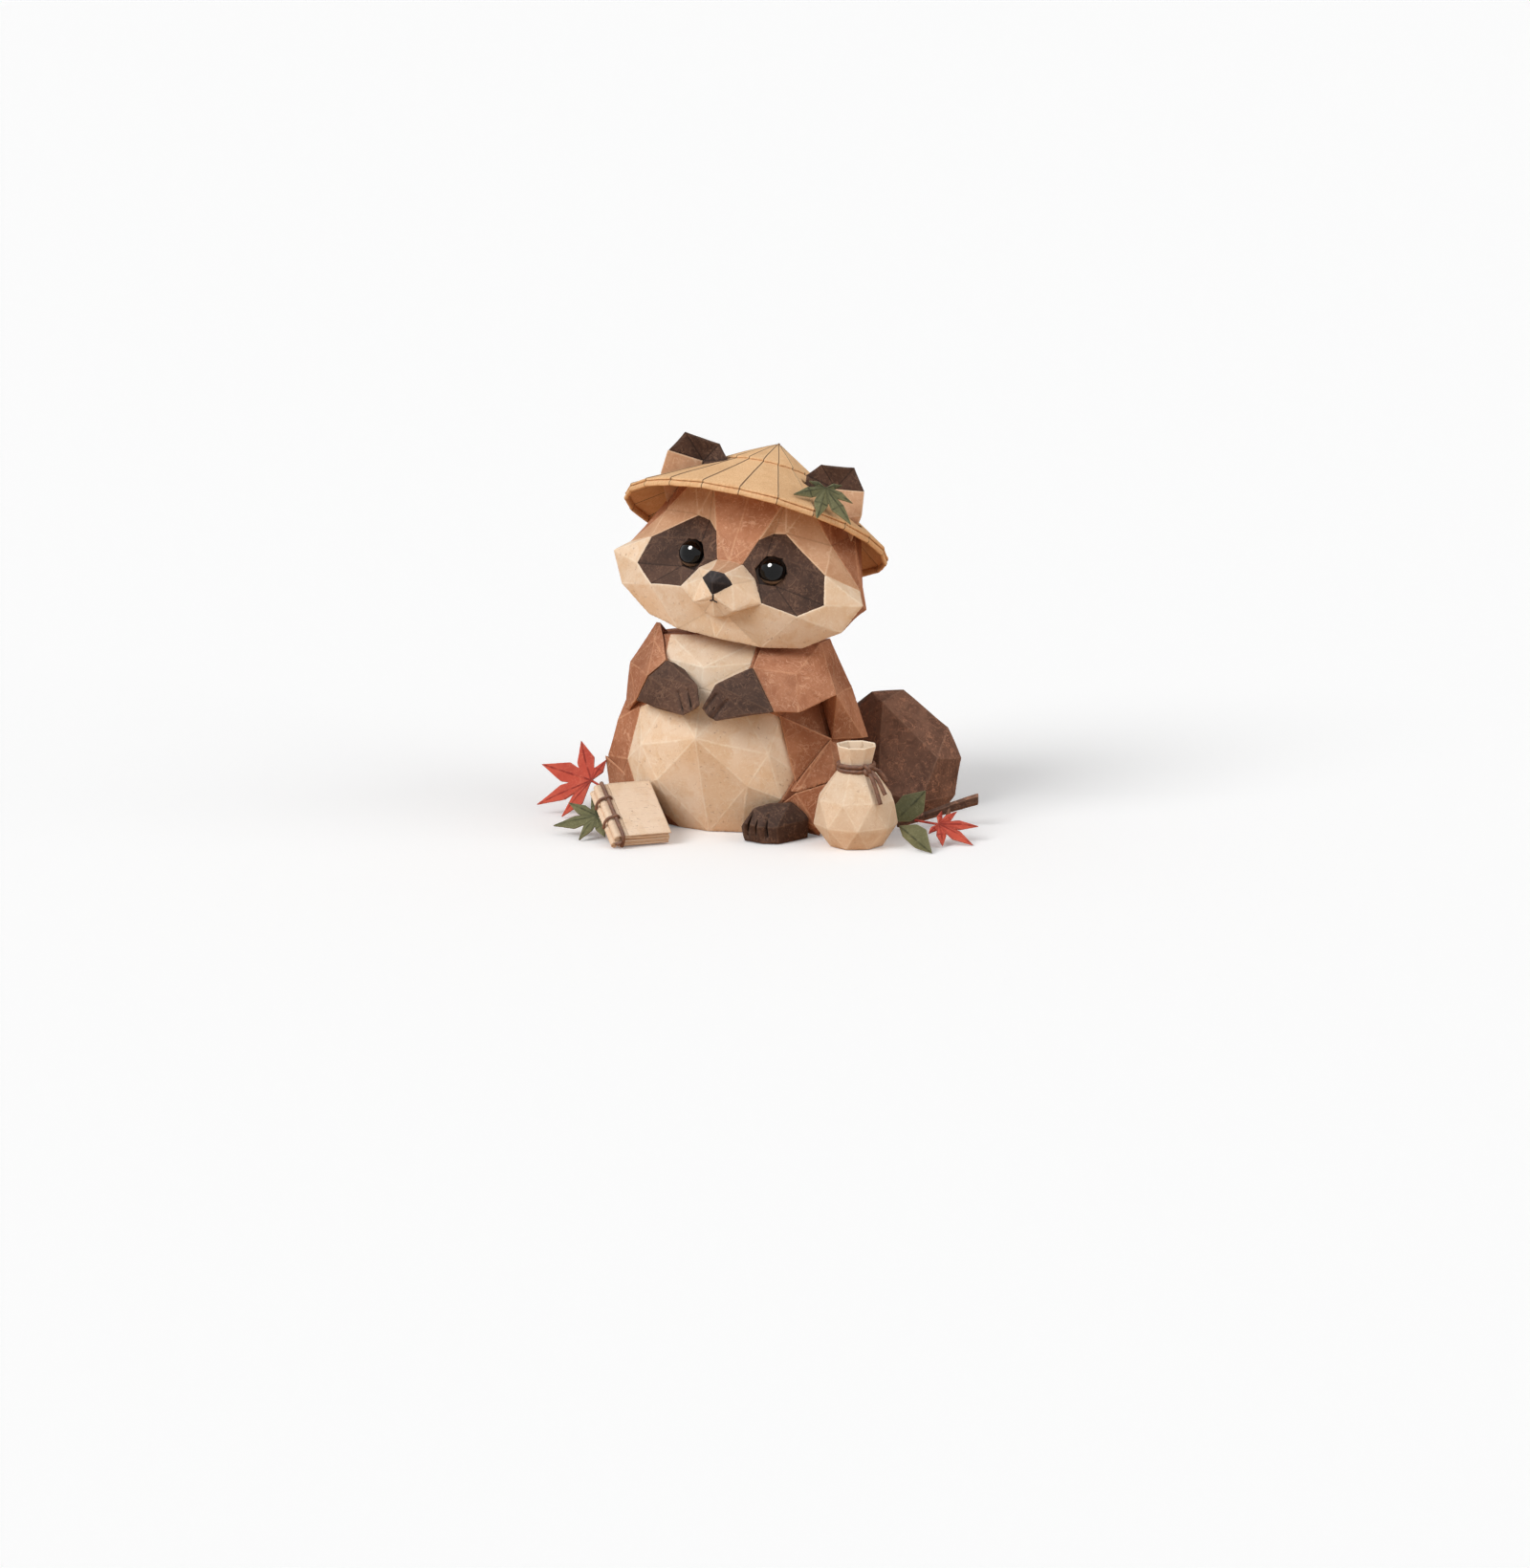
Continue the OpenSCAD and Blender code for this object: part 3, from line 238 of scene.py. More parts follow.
def lathe(radii: Array, heights: Array, sides: int) -> Surface:
    """A profile turned round the third axis: (r cos a, r sin a, h) for every angle a.

    Args:
        radii: the profile's distances from the axis, which may end near 0 but not at 0.
        heights: the profile's heights, rising for faces that look outwards.
        sides: number of steps round.

    Returns:
        The turned surface.
    """
    angle = np.linspace(0, 2 * math.pi, sides, endpoint=False)
    ring = np.stack([np.cos(angle), np.sin(angle), np.zeros(sides)], -1)
    points = radii[:, None, None] * ring + heights[:, None, None] * np.array([0.0, 0.0, 1.0])
    return grid(points[::-1], round_v=True)


def smooth_path(corners: Sequence[Sequence[float]], steps: int) -> Array:
    """A curve through its corners, by the cubic that leaves each corner along its neighbours' chord.

    Args:
        corners: the points that it passes, k by 3.
        steps: points from one corner to the next.

    Returns:
        The points of the curve.
    """
    p = np.asarray(corners, float)
    p = np.vstack([2 * p[0] - p[1], p, 2 * p[-1] - p[-2]])
    t = np.linspace(0, 1, steps, endpoint=False)[None, :, None]
    a, b, c, d = (p[i : len(p) - 3 + i, None] for i in range(4))
    curve = b + 0.5 * t * (c - a + t * (2 * a - 5 * b + 4 * c - d + t * (3 * (b - c) + d - a)))
    return np.vstack([curve.reshape(-1, 3), p[-2]])


def sheet(profile: Array, across: Array, thickness: float, wave: float = 0.0, tone: float = 0.0) -> Surface:
    """A closed sheet of even thickness: a profile in the x-z plane, carried along y.

    Its upper and lower side stand half the thickness along the profile's normal from it. The sheet
    waves up and down by wave times a product of two sine waves, of x and of y, and its near and far
    end are closed.

    Args:
        profile: x and z of its middle, k by 2.
        across: y of each row of points, rising.
        thickness: how thick it is.
        wave: height of the waves.
        tone: tone of the whole sheet, -1 to 1.

    Returns:
        The sheet, with the values of a sheet that has no folds, and laid in units of y.
    """
    ahead = unit(np.gradient(profile, axis=0))
    normal = np.stack([-ahead[:, 1], ahead[:, 0]], -1)
    loop = np.vstack([profile + normal * thickness / 2, (profile - normal * thickness / 2)[::-1]])
    middle = np.vstack([profile, profile[::-1]])
    y = np.concatenate([across[:1], across, across[-1:]])
    share = np.ones(len(y))
    share[[0, -1]] = CLOSED_SHARE
    flat = middle + share[:, None, None] * (loop - middle)
    lift = wave * np.sin(flat[..., 0] / (4.1 * MM) + 9 * tone) * np.sin(y[:, None] / (7.3 * MM) + 4 * tone)
    points = np.stack([flat[..., 0], np.broadcast_to(y[:, None], flat.shape[:2]), flat[..., 1] + lift], -1)
    end = np.minimum(np.abs(y - y[0]), np.abs(y - y[-1]))[:, None]
    side = np.abs(middle[:, 0] - middle[:, 0].max())[None]
    rim = np.minimum(end, side) / MM
    far = np.full(rim.shape, FAR / MM)
    return grid(points, round_v=True, tone=np.full(rim.shape, tone), rim=rim, ridge=far, valley=far,
                laid=np.broadcast_to(y[:, None], rim.shape) / MM)


def rope(
    path: Array, radius: float, upright: Sequence[float], pitch: float = 5 * MM,
    closed: bool = False, flat: float = 1.0, sides: int = 18, notched: float = 0.1,
) -> Surface:
    """A cord of two twisted plies along a path.

    Its outline is a circle with a shallow notch on both sides, and the notches turn once in each
    pitch. The ends of a cord that isn't closed are cut straight.

    Args:
        path: points along its middle, k by 3.
        radius: half its thickness.
        upright: a direction that the path never runs along.
        pitch: length of one full twist.
        closed: the path is a loop.
        flat: thickness across upright as a share of the thickness along it.
        sides: points round it.
        notched: depth of the notches as a share of the radius.

    Returns:
        The cord, with the value ply from 0 to 1 in a notch.
    """
    ahead = np.roll(path, -1, 0) - np.roll(path, 1, 0)
    if not closed:
        ahead[0], ahead[-1] = path[1] - path[0], path[-1] - path[-2]
        path, ahead = (np.vstack([a[:1], a, a[-1:]]) for a in (path, ahead))
    ahead = unit(ahead)
    side = unit(np.cross(ahead, np.asarray(upright, float)))
    top = np.cross(side, ahead)
    step = np.linalg.norm(np.diff(path, axis=0, append=path[:1] if closed else path[-1:]), axis=1)
    along = np.concatenate([[0], np.cumsum(step)[:-1]])
    angle = np.linspace(0, 2 * math.pi, sides, endpoint=False)
    notch = np.abs(np.cos(angle[None, :] - 2 * math.pi * along[:, None] / pitch)) ** 6
    reach = radius * (1 - notched * notch)
    if not closed:
        reach[[0, -1]] *= CLOSED_SHARE
    points = (
        path[:, None]
        + (reach * np.cos(angle))[..., None] * side[:, None] * flat
        + (reach * np.sin(angle))[..., None] * top[:, None]
    )
    return grid(points[:, ::-1], closed, True, ply=notch[:, ::-1])


class Edge(Enum):
    """What a line between two facets is to the paper: its cut edge, a fold outwards or a fold inwards."""

    RIM = 1
    RIDGE = 2
    VALLEY = 3


@dataclass
class Creased:
    """The flat facets of a folded solid, and the folds round each of them."""

    points: Array
    triangles: Array
    facet: Array
    fold_ends: dict[Edge, Array]
    fold_facet: dict[Edge, Array]


def edge_table(triangles: Array) -> tuple[Array, Array]:
    """Numbers the edges of a mesh by their lower and higher corner.

    Args:
        triangles: m by 3.

    Returns:
        The two corners of each edge, and the three edges of each triangle, the first after its first
        corner.
    """
    low = np.minimum(triangles, np.roll(triangles, -1, 1)).astype(np.int64)
    high = np.maximum(triangles, np.roll(triangles, -1, 1)).astype(np.int64)
    count = int(triangles.max()) + 1
    keys, of_triangle = np.unique(low.ravel() * count + high.ravel(), return_inverse=True)
    return np.stack([keys // count, keys % count], 1), of_triangle.reshape(-1, 3)


def edge_lengths(points: Array, edges: Array) -> Array:
    """Distance between the two corners of each edge."""
    return np.linalg.norm(points[edges[:, 0]] - points[edges[:, 1]], axis=1)


def looks(points: Array, triangles: Array) -> Array:
    """The way each triangle looks: two of its sides multiplied crosswise, so twice its area long."""
    corner = points[triangles]
    return np.cross(corner[:, 1] - corner[:, 0], corner[:, 2] - corner[:, 0])


def welded(node: bpy.types.Object) -> tuple[Array, Array]:
    """Reads a node's mesh and makes the corners that share a place one.

    Args:
        node: the node's object.

    Returns:
        Its points, n by 3, and its triangles, m by 3.
    """
    mesh = node.data
    mesh.calc_loop_triangles()
    points = np.empty(len(mesh.vertices) * 3, np.float32)
    mesh.vertices.foreach_get("co", points)
    triangles = np.empty(len(mesh.loop_triangles) * 3, np.int32)
    mesh.loop_triangles.foreach_get("vertices", triangles)
    points = points.reshape(-1, 3).astype(float)
    keys = np.round(points / TOUCHING).astype(np.int64)
    _, first, place = np.unique(keys, axis=0, return_index=True, return_inverse=True)
    triangles = place.reshape(-1)[triangles].reshape(-1, 3)
    a, b, c = triangles.T
    return points[first], triangles[(a != b) & (b != c) & (c != a)]


def creased(points: Array, triangles: Array, least_turn: float) -> Creased:
    """Finds the facets of a solid and the folds between them.

    Two triangles lie in one facet if the paper turns by less than the least turn at their edge. A fold
    is a valley if the next triangle's middle lies before the plane of the first. Otherwise it is a rim
    where the paper turns by more than RIM_TURN, and a ridge where it turns by less.

    Args:
        points: corners, n by 3.
        triangles: m by 3, looking outwards.
        least_turn: degrees.

    Returns:
        The solid with its facets and folds.
    """
    normal = unit(looks(points, triangles))
    middle = points[triangles].mean(1)
    edges, of_triangle = edge_table(triangles)
    order = np.argsort(of_triangle.ravel(), kind="stable")
    owner = (np.arange(triangles.size) // 3)[order]
    start = np.searchsorted(of_triangle.ravel()[order], np.arange(len(edges)))
    count = np.bincount(of_triangle.ravel(), minlength=len(edges))
    first = owner[start]
    second = np.where(count > 1, owner[np.minimum(start + 1, len(owner) - 1)], first)
    level = np.einsum("ij,ij->i", normal[first], normal[second])
    fold = (level < math.cos(math.radians(least_turn))) | (count != 2)
    behind = np.einsum("ij,ij->i", middle[second] - middle[first], normal[first]) <= 0
    facet = np.arange(len(triangles))
    joined = ~fold
    while True:
        lowest = np.minimum(facet[first[joined]], facet[second[joined]])
        new = facet.copy()
        np.minimum.at(new, first[joined], lowest)
        np.minimum.at(new, second[joined], lowest)
        if (new == facet).all():
            break
        facet = new
    ends, sides = {}, {}
    sharp = level < math.cos(math.radians(RIM_TURN))
    for kind, chosen in ((Edge.RIM, fold & behind & sharp), (Edge.RIDGE, fold & behind & ~sharp),
                         (Edge.VALLEY, fold & ~behind)):
        ends[kind] = np.vstack([points[edges[chosen]]] * 2)
        sides[kind] = np.concatenate([facet[first[chosen]], facet[second[chosen]]])
    return Creased(points, triangles, facet, ends, sides)


def split_edges(points: Array, triangles: Array, facet: Array, cut: Array) -> tuple[Array, Array, Array]:
    """Puts a point in the middle of the chosen edges and splits the triangles beside them.

    A triangle with one cut edge becomes two, with two it becomes three, and with three it becomes four.

    Args:
        points: corners, n by 3.
        triangles: m by 3.
        facet: facet of each triangle.
        cut: for each edge of the edge table, whether it is cut.

    Returns:
        The new points, triangles and facets.
    """
    edges, of_triangle = edge_table(triangles)
    number = np.where(cut, len(points) + np.cumsum(cut) - 1, -1)
    middle = number[of_triangle]
    split = (middle >= 0).sum(1)
    points = np.vstack([points, points[edges[cut]].mean(1)])
    made, owner = [triangles[split == 0]], [facet[split == 0]]

    def rolled(rows: Array, start: Array) -> tuple[Array, ...]:
        """Corners and middles of some triangles, read from a start corner of each."""
        turns = (start[:, None] + np.arange(3)) % 3
        return (*np.take_along_axis(triangles[rows], turns, 1).T,
                *np.take_along_axis(middle[rows], turns, 1).T)

    rows = np.flatnonzero(split == 1)
    a, b, c, ab, _, _ = rolled(rows, np.argmax(middle[rows] >= 0, 1))
    made += [np.stack(t, 1) for t in ((a, ab, c), (ab, b, c))]
    owner += [facet[rows]] * 2
    rows = np.flatnonzero(split == 2)
    a, b, c, ab, bc, _ = rolled(rows, (np.argmin(middle[rows] >= 0, 1) + 1) % 3)
    made += [np.stack(t, 1) for t in ((ab, b, bc), (a, ab, bc), (a, bc, c))]
    owner += [facet[rows]] * 3
    rows = np.flatnonzero(split == 3)
    a, b, c, ab, bc, ca = rolled(rows, np.zeros(len(rows), int))
    made += [np.stack(t, 1) for t in ((a, ab, ca), (ab, b, bc), (ca, bc, c), (ab, bc, ca))]
    owner += [facet[rows]] * 4
    return points, np.vstack(made), np.concatenate(owner)


def fold_distance(shape: Creased, points: Array, triangles: Array, facet: Array) -> dict[Edge, Array]:
    """Distance of each point to the nearest rim, ridge and valley of its own facets.

    For each fold the nearest point on it is found by the share t of its length, held from 0 to 1.

    Args:
        shape: the folds.
        points: n by 3.
        triangles: m by 3.
        facet: facet of each triangle.

    Returns:
        A distance for each point and kind of fold, at most FAR.
    """
    found = {kind: np.full(len(points), FAR) for kind in Edge}
    order = np.argsort(facet, kind="stable")
    names, starts = np.unique(facet[order], return_index=True)
    for name, rows in zip(names, np.split(order, starts[1:])):
        own = np.unique(triangles[rows])
        for kind in Edge:
            ends = shape.fold_ends[kind][shape.fold_facet[kind] == name]
            if not len(ends):
                continue
            run = ends[:, 1] - ends[:, 0]
            from_end = points[own][:, None] - ends[:, 0]
            t = np.clip((from_end * run).sum(-1) / (run * run).sum(-1), 0, 1)
            distance = np.linalg.norm(from_end - t[..., None] * run, axis=-1).min(1)
            np.minimum.at(found[kind], own, distance)
    return found


def nearest(distances: dict[Edge, Array]) -> Array:
    """The smallest of a point's distances to folds of any kind."""
    return np.minimum.reduce(list(distances.values()))


def neighbour_mean(values: Array, edges: Array) -> Array:
    """Averages each point's neighbours.

    Args:
        values: what is averaged, n by any.
        edges: pairs of neighbours.

    Returns:
        The mean of each point's neighbours, or its own value where it has none.
    """
    count = np.bincount(edges.ravel(), minlength=len(values))[:, None]
    total = np.zeros_like(values)
    np.add.at(total, edges[:, 0], values[edges[:, 1]])
    np.add.at(total, edges[:, 1], values[edges[:, 0]])
    return np.where(count > 0, total / np.maximum(count, 1), values)


@dataclass(frozen=True)
class Folding:
    """How a sheet is worked: sizes of its triangles, of its rounded folds and of its unevenness.

    Edges longer than coarse are halved, and near a fold, within the band, edges longer than fine. The
    folds are rounded within the roundness, as strongly as soften says. Facets swell by up to the pillow,
    which is full at some pillow_rise from a fold. A groove is a line from one x and z to another, in
    millimetres, and its width in millimetres grows from the first to the sum of both; the finish paints
    shade along it, as in a valley. Where a direction is given for painted light, three shares give the
    weight of chance and of that painted light in a facet's tone, and the tone of one that looks across.
    """

    least_turn: float = 5.0
    coarse: float = 2.4 * MM
    fine: float = 0.9 * MM
    band: float = 0.7 * MM
    roundness: float = 0.7 * MM
    soften: float = 0.6
    refinements: int = 2
    rounds: int = 3
    fold_rounds: int = 6
    pillow: float = 0.32 * MM
    pillow_rise: float = 4 * MM
    pillow_shares: tuple[float, float] = (-0.35, 1.0)
    wander: float = 0.22 * MM
    wander_length: float = 26 * MM
    lift: float = 0.0
    painted_light_way: Triple | None = None
    painted_light_tone: Triple = (0.2, 1.6, -0.45)
    grooves: tuple[tuple[tuple[float, float], tuple[float, float]], ...] = ()
    groove_width: tuple[float, float] = (0.55, 0.75)
    groove_band: float = 2.5
    groove_depth: float = 0.9 * MM
    groove_shade: float = 0.8

    def groove_distance(self, points: Array) -> Array:
        """Measures how far points lie from the grooves, as seen from the front.

        Args:
            points: n by 3.

        Returns:
            The distance to the nearest groove, divided by the groove's width there, so that it opens
            like a wedge.
        """
        found = np.full(len(points), FAR / MM)
        seen = points[:, [0, 2]] / MM
        for start, end in self.grooves:
            run = np.subtract(end, start)
            t = np.clip(((seen - start) @ run) / (run @ run), 0, 1)
            away = np.linalg.norm(seen - start - t[:, None] * run, axis=1)
            found = np.minimum(found, away / (self.groove_width[0] + self.groove_width[1] * t))
        return found

    def work(self, node: bpy.types.Object, seed: int) -> Surface:
        """Makes the folded sheet of one node.

        Long edges are halved until the mesh is fine enough, and finer still along the folds. Points on
        a fold move to the mean of their neighbours, which rounds it. A facet swells by its own amount
        times 1 - exp(-(d / pillow_rise) squared), with d the distance to its nearest fold, and the whole
        sheet stands out by its lift. A groove is pressed in by its depth times exp(-distance squared), and
        its distance joins the valley's, so that the finish paints shade along it. Where a direction is given,
        facets that face it get a lighter tone, and those that face away a darker one: painted light and shade.

        Args:
            node: the node's object, which stays as it is.
            seed: choice of the facets' tones and swelling.

        Returns:
            The sheet, with its distance in millimetres from rim, ridge and valley, and tone from -1 to 1.
        """
        shape = creased(*welded(node), self.least_turn)
        points, triangles, facet = shape.points, shape.triangles, shape.facet
        edges, _ = edge_table(triangles)
        while (cut := edge_lengths(points, edges) > self.coarse).any():
            points, triangles, facet = split_edges(points, triangles, facet, cut)
            edges, _ = edge_table(triangles)
        for _ in range(self.refinements):
            away = nearest(fold_distance(shape, points, triangles, facet))
            edges, _ = edge_table(triangles)
            by_fold = away[edges].mean(1) < self.band
            by_groove = self.groove_distance(points)[edges].min(1) < self.groove_band
            cut = (edge_lengths(points, edges) > self.fine) & (by_fold | by_groove)
            points, triangles, facet = split_edges(points, triangles, facet, cut)
        folds = fold_distance(shape, points, triangles, facet)
        away = nearest(folds)
        points = self.swollen(points, triangles, facet, away, seed)
        edges, _ = edge_table(triangles)
        points = self.rounded(points, edges, away)
        if self.grooves:
            groove = self.groove_distance(points)
            # Painted shade: the groove's distance joins the valley distance, so the finish darkens the paper
            # along the groove.
            folds[Edge.VALLEY] = np.minimum(folds[Edge.VALLEY], groove * self.groove_shade * MM)
            points = points + np.exp(-(groove ** 2))[:, None] * np.array([0, self.groove_depth, 0])
        tone = np.random.default_rng(seed).uniform(-1, 1, len(shape.triangles))
        # Painted light and shade: facets that face the given way get a lighter tone, those that face away a
        # darker one.
        if self.painted_light_way:
            light = unit(looks(shape.points, shape.triangles)) @ unit(np.array(self.painted_light_way))
            chance, lit, across = self.painted_light_tone
            tone = chance * tone + lit * light + across
        count = np.bincount(triangles.ravel(), minlength=len(points))
        tones = np.bincount(triangles.ravel(), np.repeat(tone[facet], 3), len(points)) / np.maximum(count, 1)
        values = {"tone": tones, **{kind.name.lower(): folds[kind] / MM for kind in Edge}}
        return Surface(points + drift(points, self.wander, self.wander_length), triangles, values)

    def swollen(self, points: Array, triangles: Array, facet: Array, away: Array, seed: int) -> Array:
        """Moves the points out along their facets by the formula of work, each facet by its own amount.

        Args:
            points: n by 3.
            triangles: m by 3.
            facet: facet of each triangle.
            away: distance of each point to its nearest fold.
            seed: choice of the amounts.

        Returns:
            The moved points.
        """
        normal = looks(points, triangles)
        share = np.random.default_rng(seed + 1).uniform(*self.pillow_shares, facet.max() + 1)[facet]
        push, out = np.zeros_like(points), np.zeros_like(points)
        np.add.at(push, triangles.ravel(), np.repeat(unit(normal) * share[:, None], 3, 0))
        np.add.at(out, triangles.ravel(), np.repeat(normal, 3, 0))
        count = np.bincount(triangles.ravel(), minlength=len(points))[:, None]
        swell = (1 - np.exp(-((away / self.pillow_rise) ** 2)))[:, None]
        return points + self.pillow * push / np.maximum(count, 1) * swell + self.lift * unit(out)

    def rounded(self, points: Array, edges: Array, away: Array) -> Array:
        """Moves the points near a fold towards the mean of their neighbours, a few times.

        Points on the fold itself then share their movement with the next ones along it, so that the
        fold stays a clean line.

        Args:
            points: n by 3.
            edges: the mesh's edges.
            away: distance of each point to its nearest fold.

        Returns:
            The moved points.
        """
        weight = self.soften * np.exp(-((away / self.roundness) ** 2))[:, None]
        start = points
        for _ in range(self.rounds):
            points = points + weight * (neighbour_mean(points, edges) - points)
        shift = points - start
        on_fold = away < TOUCHING
        along = edges[on_fold[edges].all(1)]
        for _ in range(self.fold_rounds):
            mean = neighbour_mean(shift, along)
            shift = np.where(on_fold[:, None], 0.5 * (shift + mean), shift)
        return start + shift


class Graph:
    """The nodes of a material or of the world, written as plain sums of sockets."""

    MIX_A, MIX_B, MIX_RESULT = 6, 7, 2  # Places of the Mix node's colour sockets, which share their names

    def __init__(self, owner: bpy.types.Material | bpy.types.World, shader: str = "Principled BSDF") -> None:
        """Starts with the owner's shader.

        Args:
            owner: a new material or world.
            shader: name of the shader node that it comes with.
        """
        owner.use_nodes = True
        self.owner = owner
        self.nodes = owner.node_tree.nodes
        self.links = owner.node_tree.links
        self.shader = self.nodes[shader]

    @cached_property
    def place(self) -> Socket:
        """The piece's own coordinates."""
        return self.node("TexCoord").outputs["Object"]

    def put(self, socket: Socket, value: object) -> None:
        """Links another socket into this one, or sets its value.

        Args:
            socket: an input.
            value: a socket, or a number, colour or vector.
        """
        if isinstance(value, Socket):
            self.links.new(value, socket)
        else:
            socket.default_value = value

    def feed(self, node: bpy.types.Node, **inputs: object) -> None:
        """Puts a value or socket into each named input, with _ for a space in its name."""
        for name, value in inputs.items():
            self.put(node.inputs[name.replace("_", " ")], value)

    def node(self, kind: str, **inputs: object) -> bpy.types.Node:
        """Adds a node.

        Args:
            kind: its type, without ShaderNode before it.
            inputs: what goes into its inputs, as in feed.

        Returns:
            The node.
        """
        node = self.nodes.new("ShaderNode" + kind)
        self.feed(node, **inputs)
        return node

    def noise(self, scale: float, detail: float = 3.0, distortion: float = 0.0) -> Socket:
        """Noise of so many features a metre."""
        return self.node(
            "TexNoise", Vector=self.place, Scale=scale, Detail=detail, Distortion=distortion
        ).outputs["Fac"]

    def sum(self, operation: str, a: object, b: object = 0.0) -> Socket:
        """Adds a Math node.

        Args:
            operation: what it does.
            a: first number or socket.
            b: second number or socket.

        Returns:
            Its result.
        """
        node = self.node("Math")
        node.operation = operation
        self.put(node.inputs[0], a)
        self.put(node.inputs[1], b)
        return node.outputs[0]

    def times(self, a: object, b: object) -> Socket:
        """Product of two numbers or sockets."""
        return self.sum("MULTIPLY", a, b)

    def total(self, *terms: tuple[object, float]) -> Socket:
        """Adds up sockets.

        Args:
            terms: each socket with its weight.

        Returns:
            The sum of the sockets, each times its own weight.
        """
        made = self.times(*terms[0])
        for socket, weight in terms[1:]:
            made = self.sum("ADD", made, self.times(socket, weight))
        return made

    def toned(self, colour: object, reach: float) -> Socket:
        """A colour made lighter or darker by the facet's tone, by at most the reach."""
        lightness = self.sum("ADD", self.times(self.value("tone"), reach), 1.0)
        return self.node("HueSaturation", Value=lightness, Color=colour).outputs["Color"]

    def span(self, value: object, low: float, high: float, start: float = 0.0, end: float = 1.0) -> Socket:
        """A smooth step.

        Args:
            value: what is read.
            low: where the step starts.
            high: where it ends.
            start: result at low and below.
            end: result at high and above.

        Returns:
            The result.
        """
        node = self.node("MapRange", Value=value, From_Min=low, From_Max=high, To_Min=start, To_Max=end)
        node.interpolation_type = "SMOOTHSTEP"
        return node.outputs["Result"]

    def fade(self, value: object, full: float, gone: float) -> Socket:
        """1 at full and below, 0 at gone and above, and a smooth step between."""
        return self.span(value, full, gone, 1.0, 0.0)

    def mix(self, share: object, a: object, b: object) -> Socket:
        """Mixes two colours.

        Args:
            share: share of the second colour.
            a: first colour.
            b: second colour.

        Returns:
            The mixed colour.
        """
        node = self.node("Mix")
        node.data_type = "RGBA"
        self.put(node.inputs["Factor"], share)
        self.put(node.inputs[self.MIX_A], a)
        self.put(node.inputs[self.MIX_B], b)
        return node.outputs[self.MIX_RESULT]

    def value(self, name: str) -> Socket:
        """A value that the surface carries under a name."""
        node = self.node("Attribute")
        node.attribute_name = name
        return node.outputs["Fac"]

    def fibres(self, scale: float, width: float, low: float, high: float) -> Socket:
        """Thin wandering hairs: the lines where a noise passes its middle.

        Args:
            scale: noise features a metre.
            width: width of the lines, in units of the noise.
            low: a second noise below this leaves no line.
            high: above this it leaves them whole.

        Returns:
            1 on a hair and 0 elsewhere.
        """
        line = self.sum("ABSOLUTE", self.sum("SUBTRACT", self.noise(scale, 2.0, 1.1), 0.5))
        kept = self.span(self.noise(scale * 0.75, 1.0), low, high)
        return self.times(self.fade(line, width * 0.35, width), kept)

    def bump(self, height: object, depth: float, strength: float) -> None:
        """Raises the surface by the height times the depth."""
        node = self.node("Bump", Strength=strength, Distance=depth, Height=height)
        self.feed(self.shader, Normal=node.outputs["Normal"])

    def seen(self) -> Socket:
        """1 for a ray from the camera, a gloss or a glass, and 0 for one that lights a surface."""
        rays = self.node("LightPath").outputs
        first = self.sum("MAXIMUM", rays["Is Camera Ray"], rays["Is Glossy Ray"])
        return self.sum("MAXIMUM", first, rays["Is Transmission Ray"])


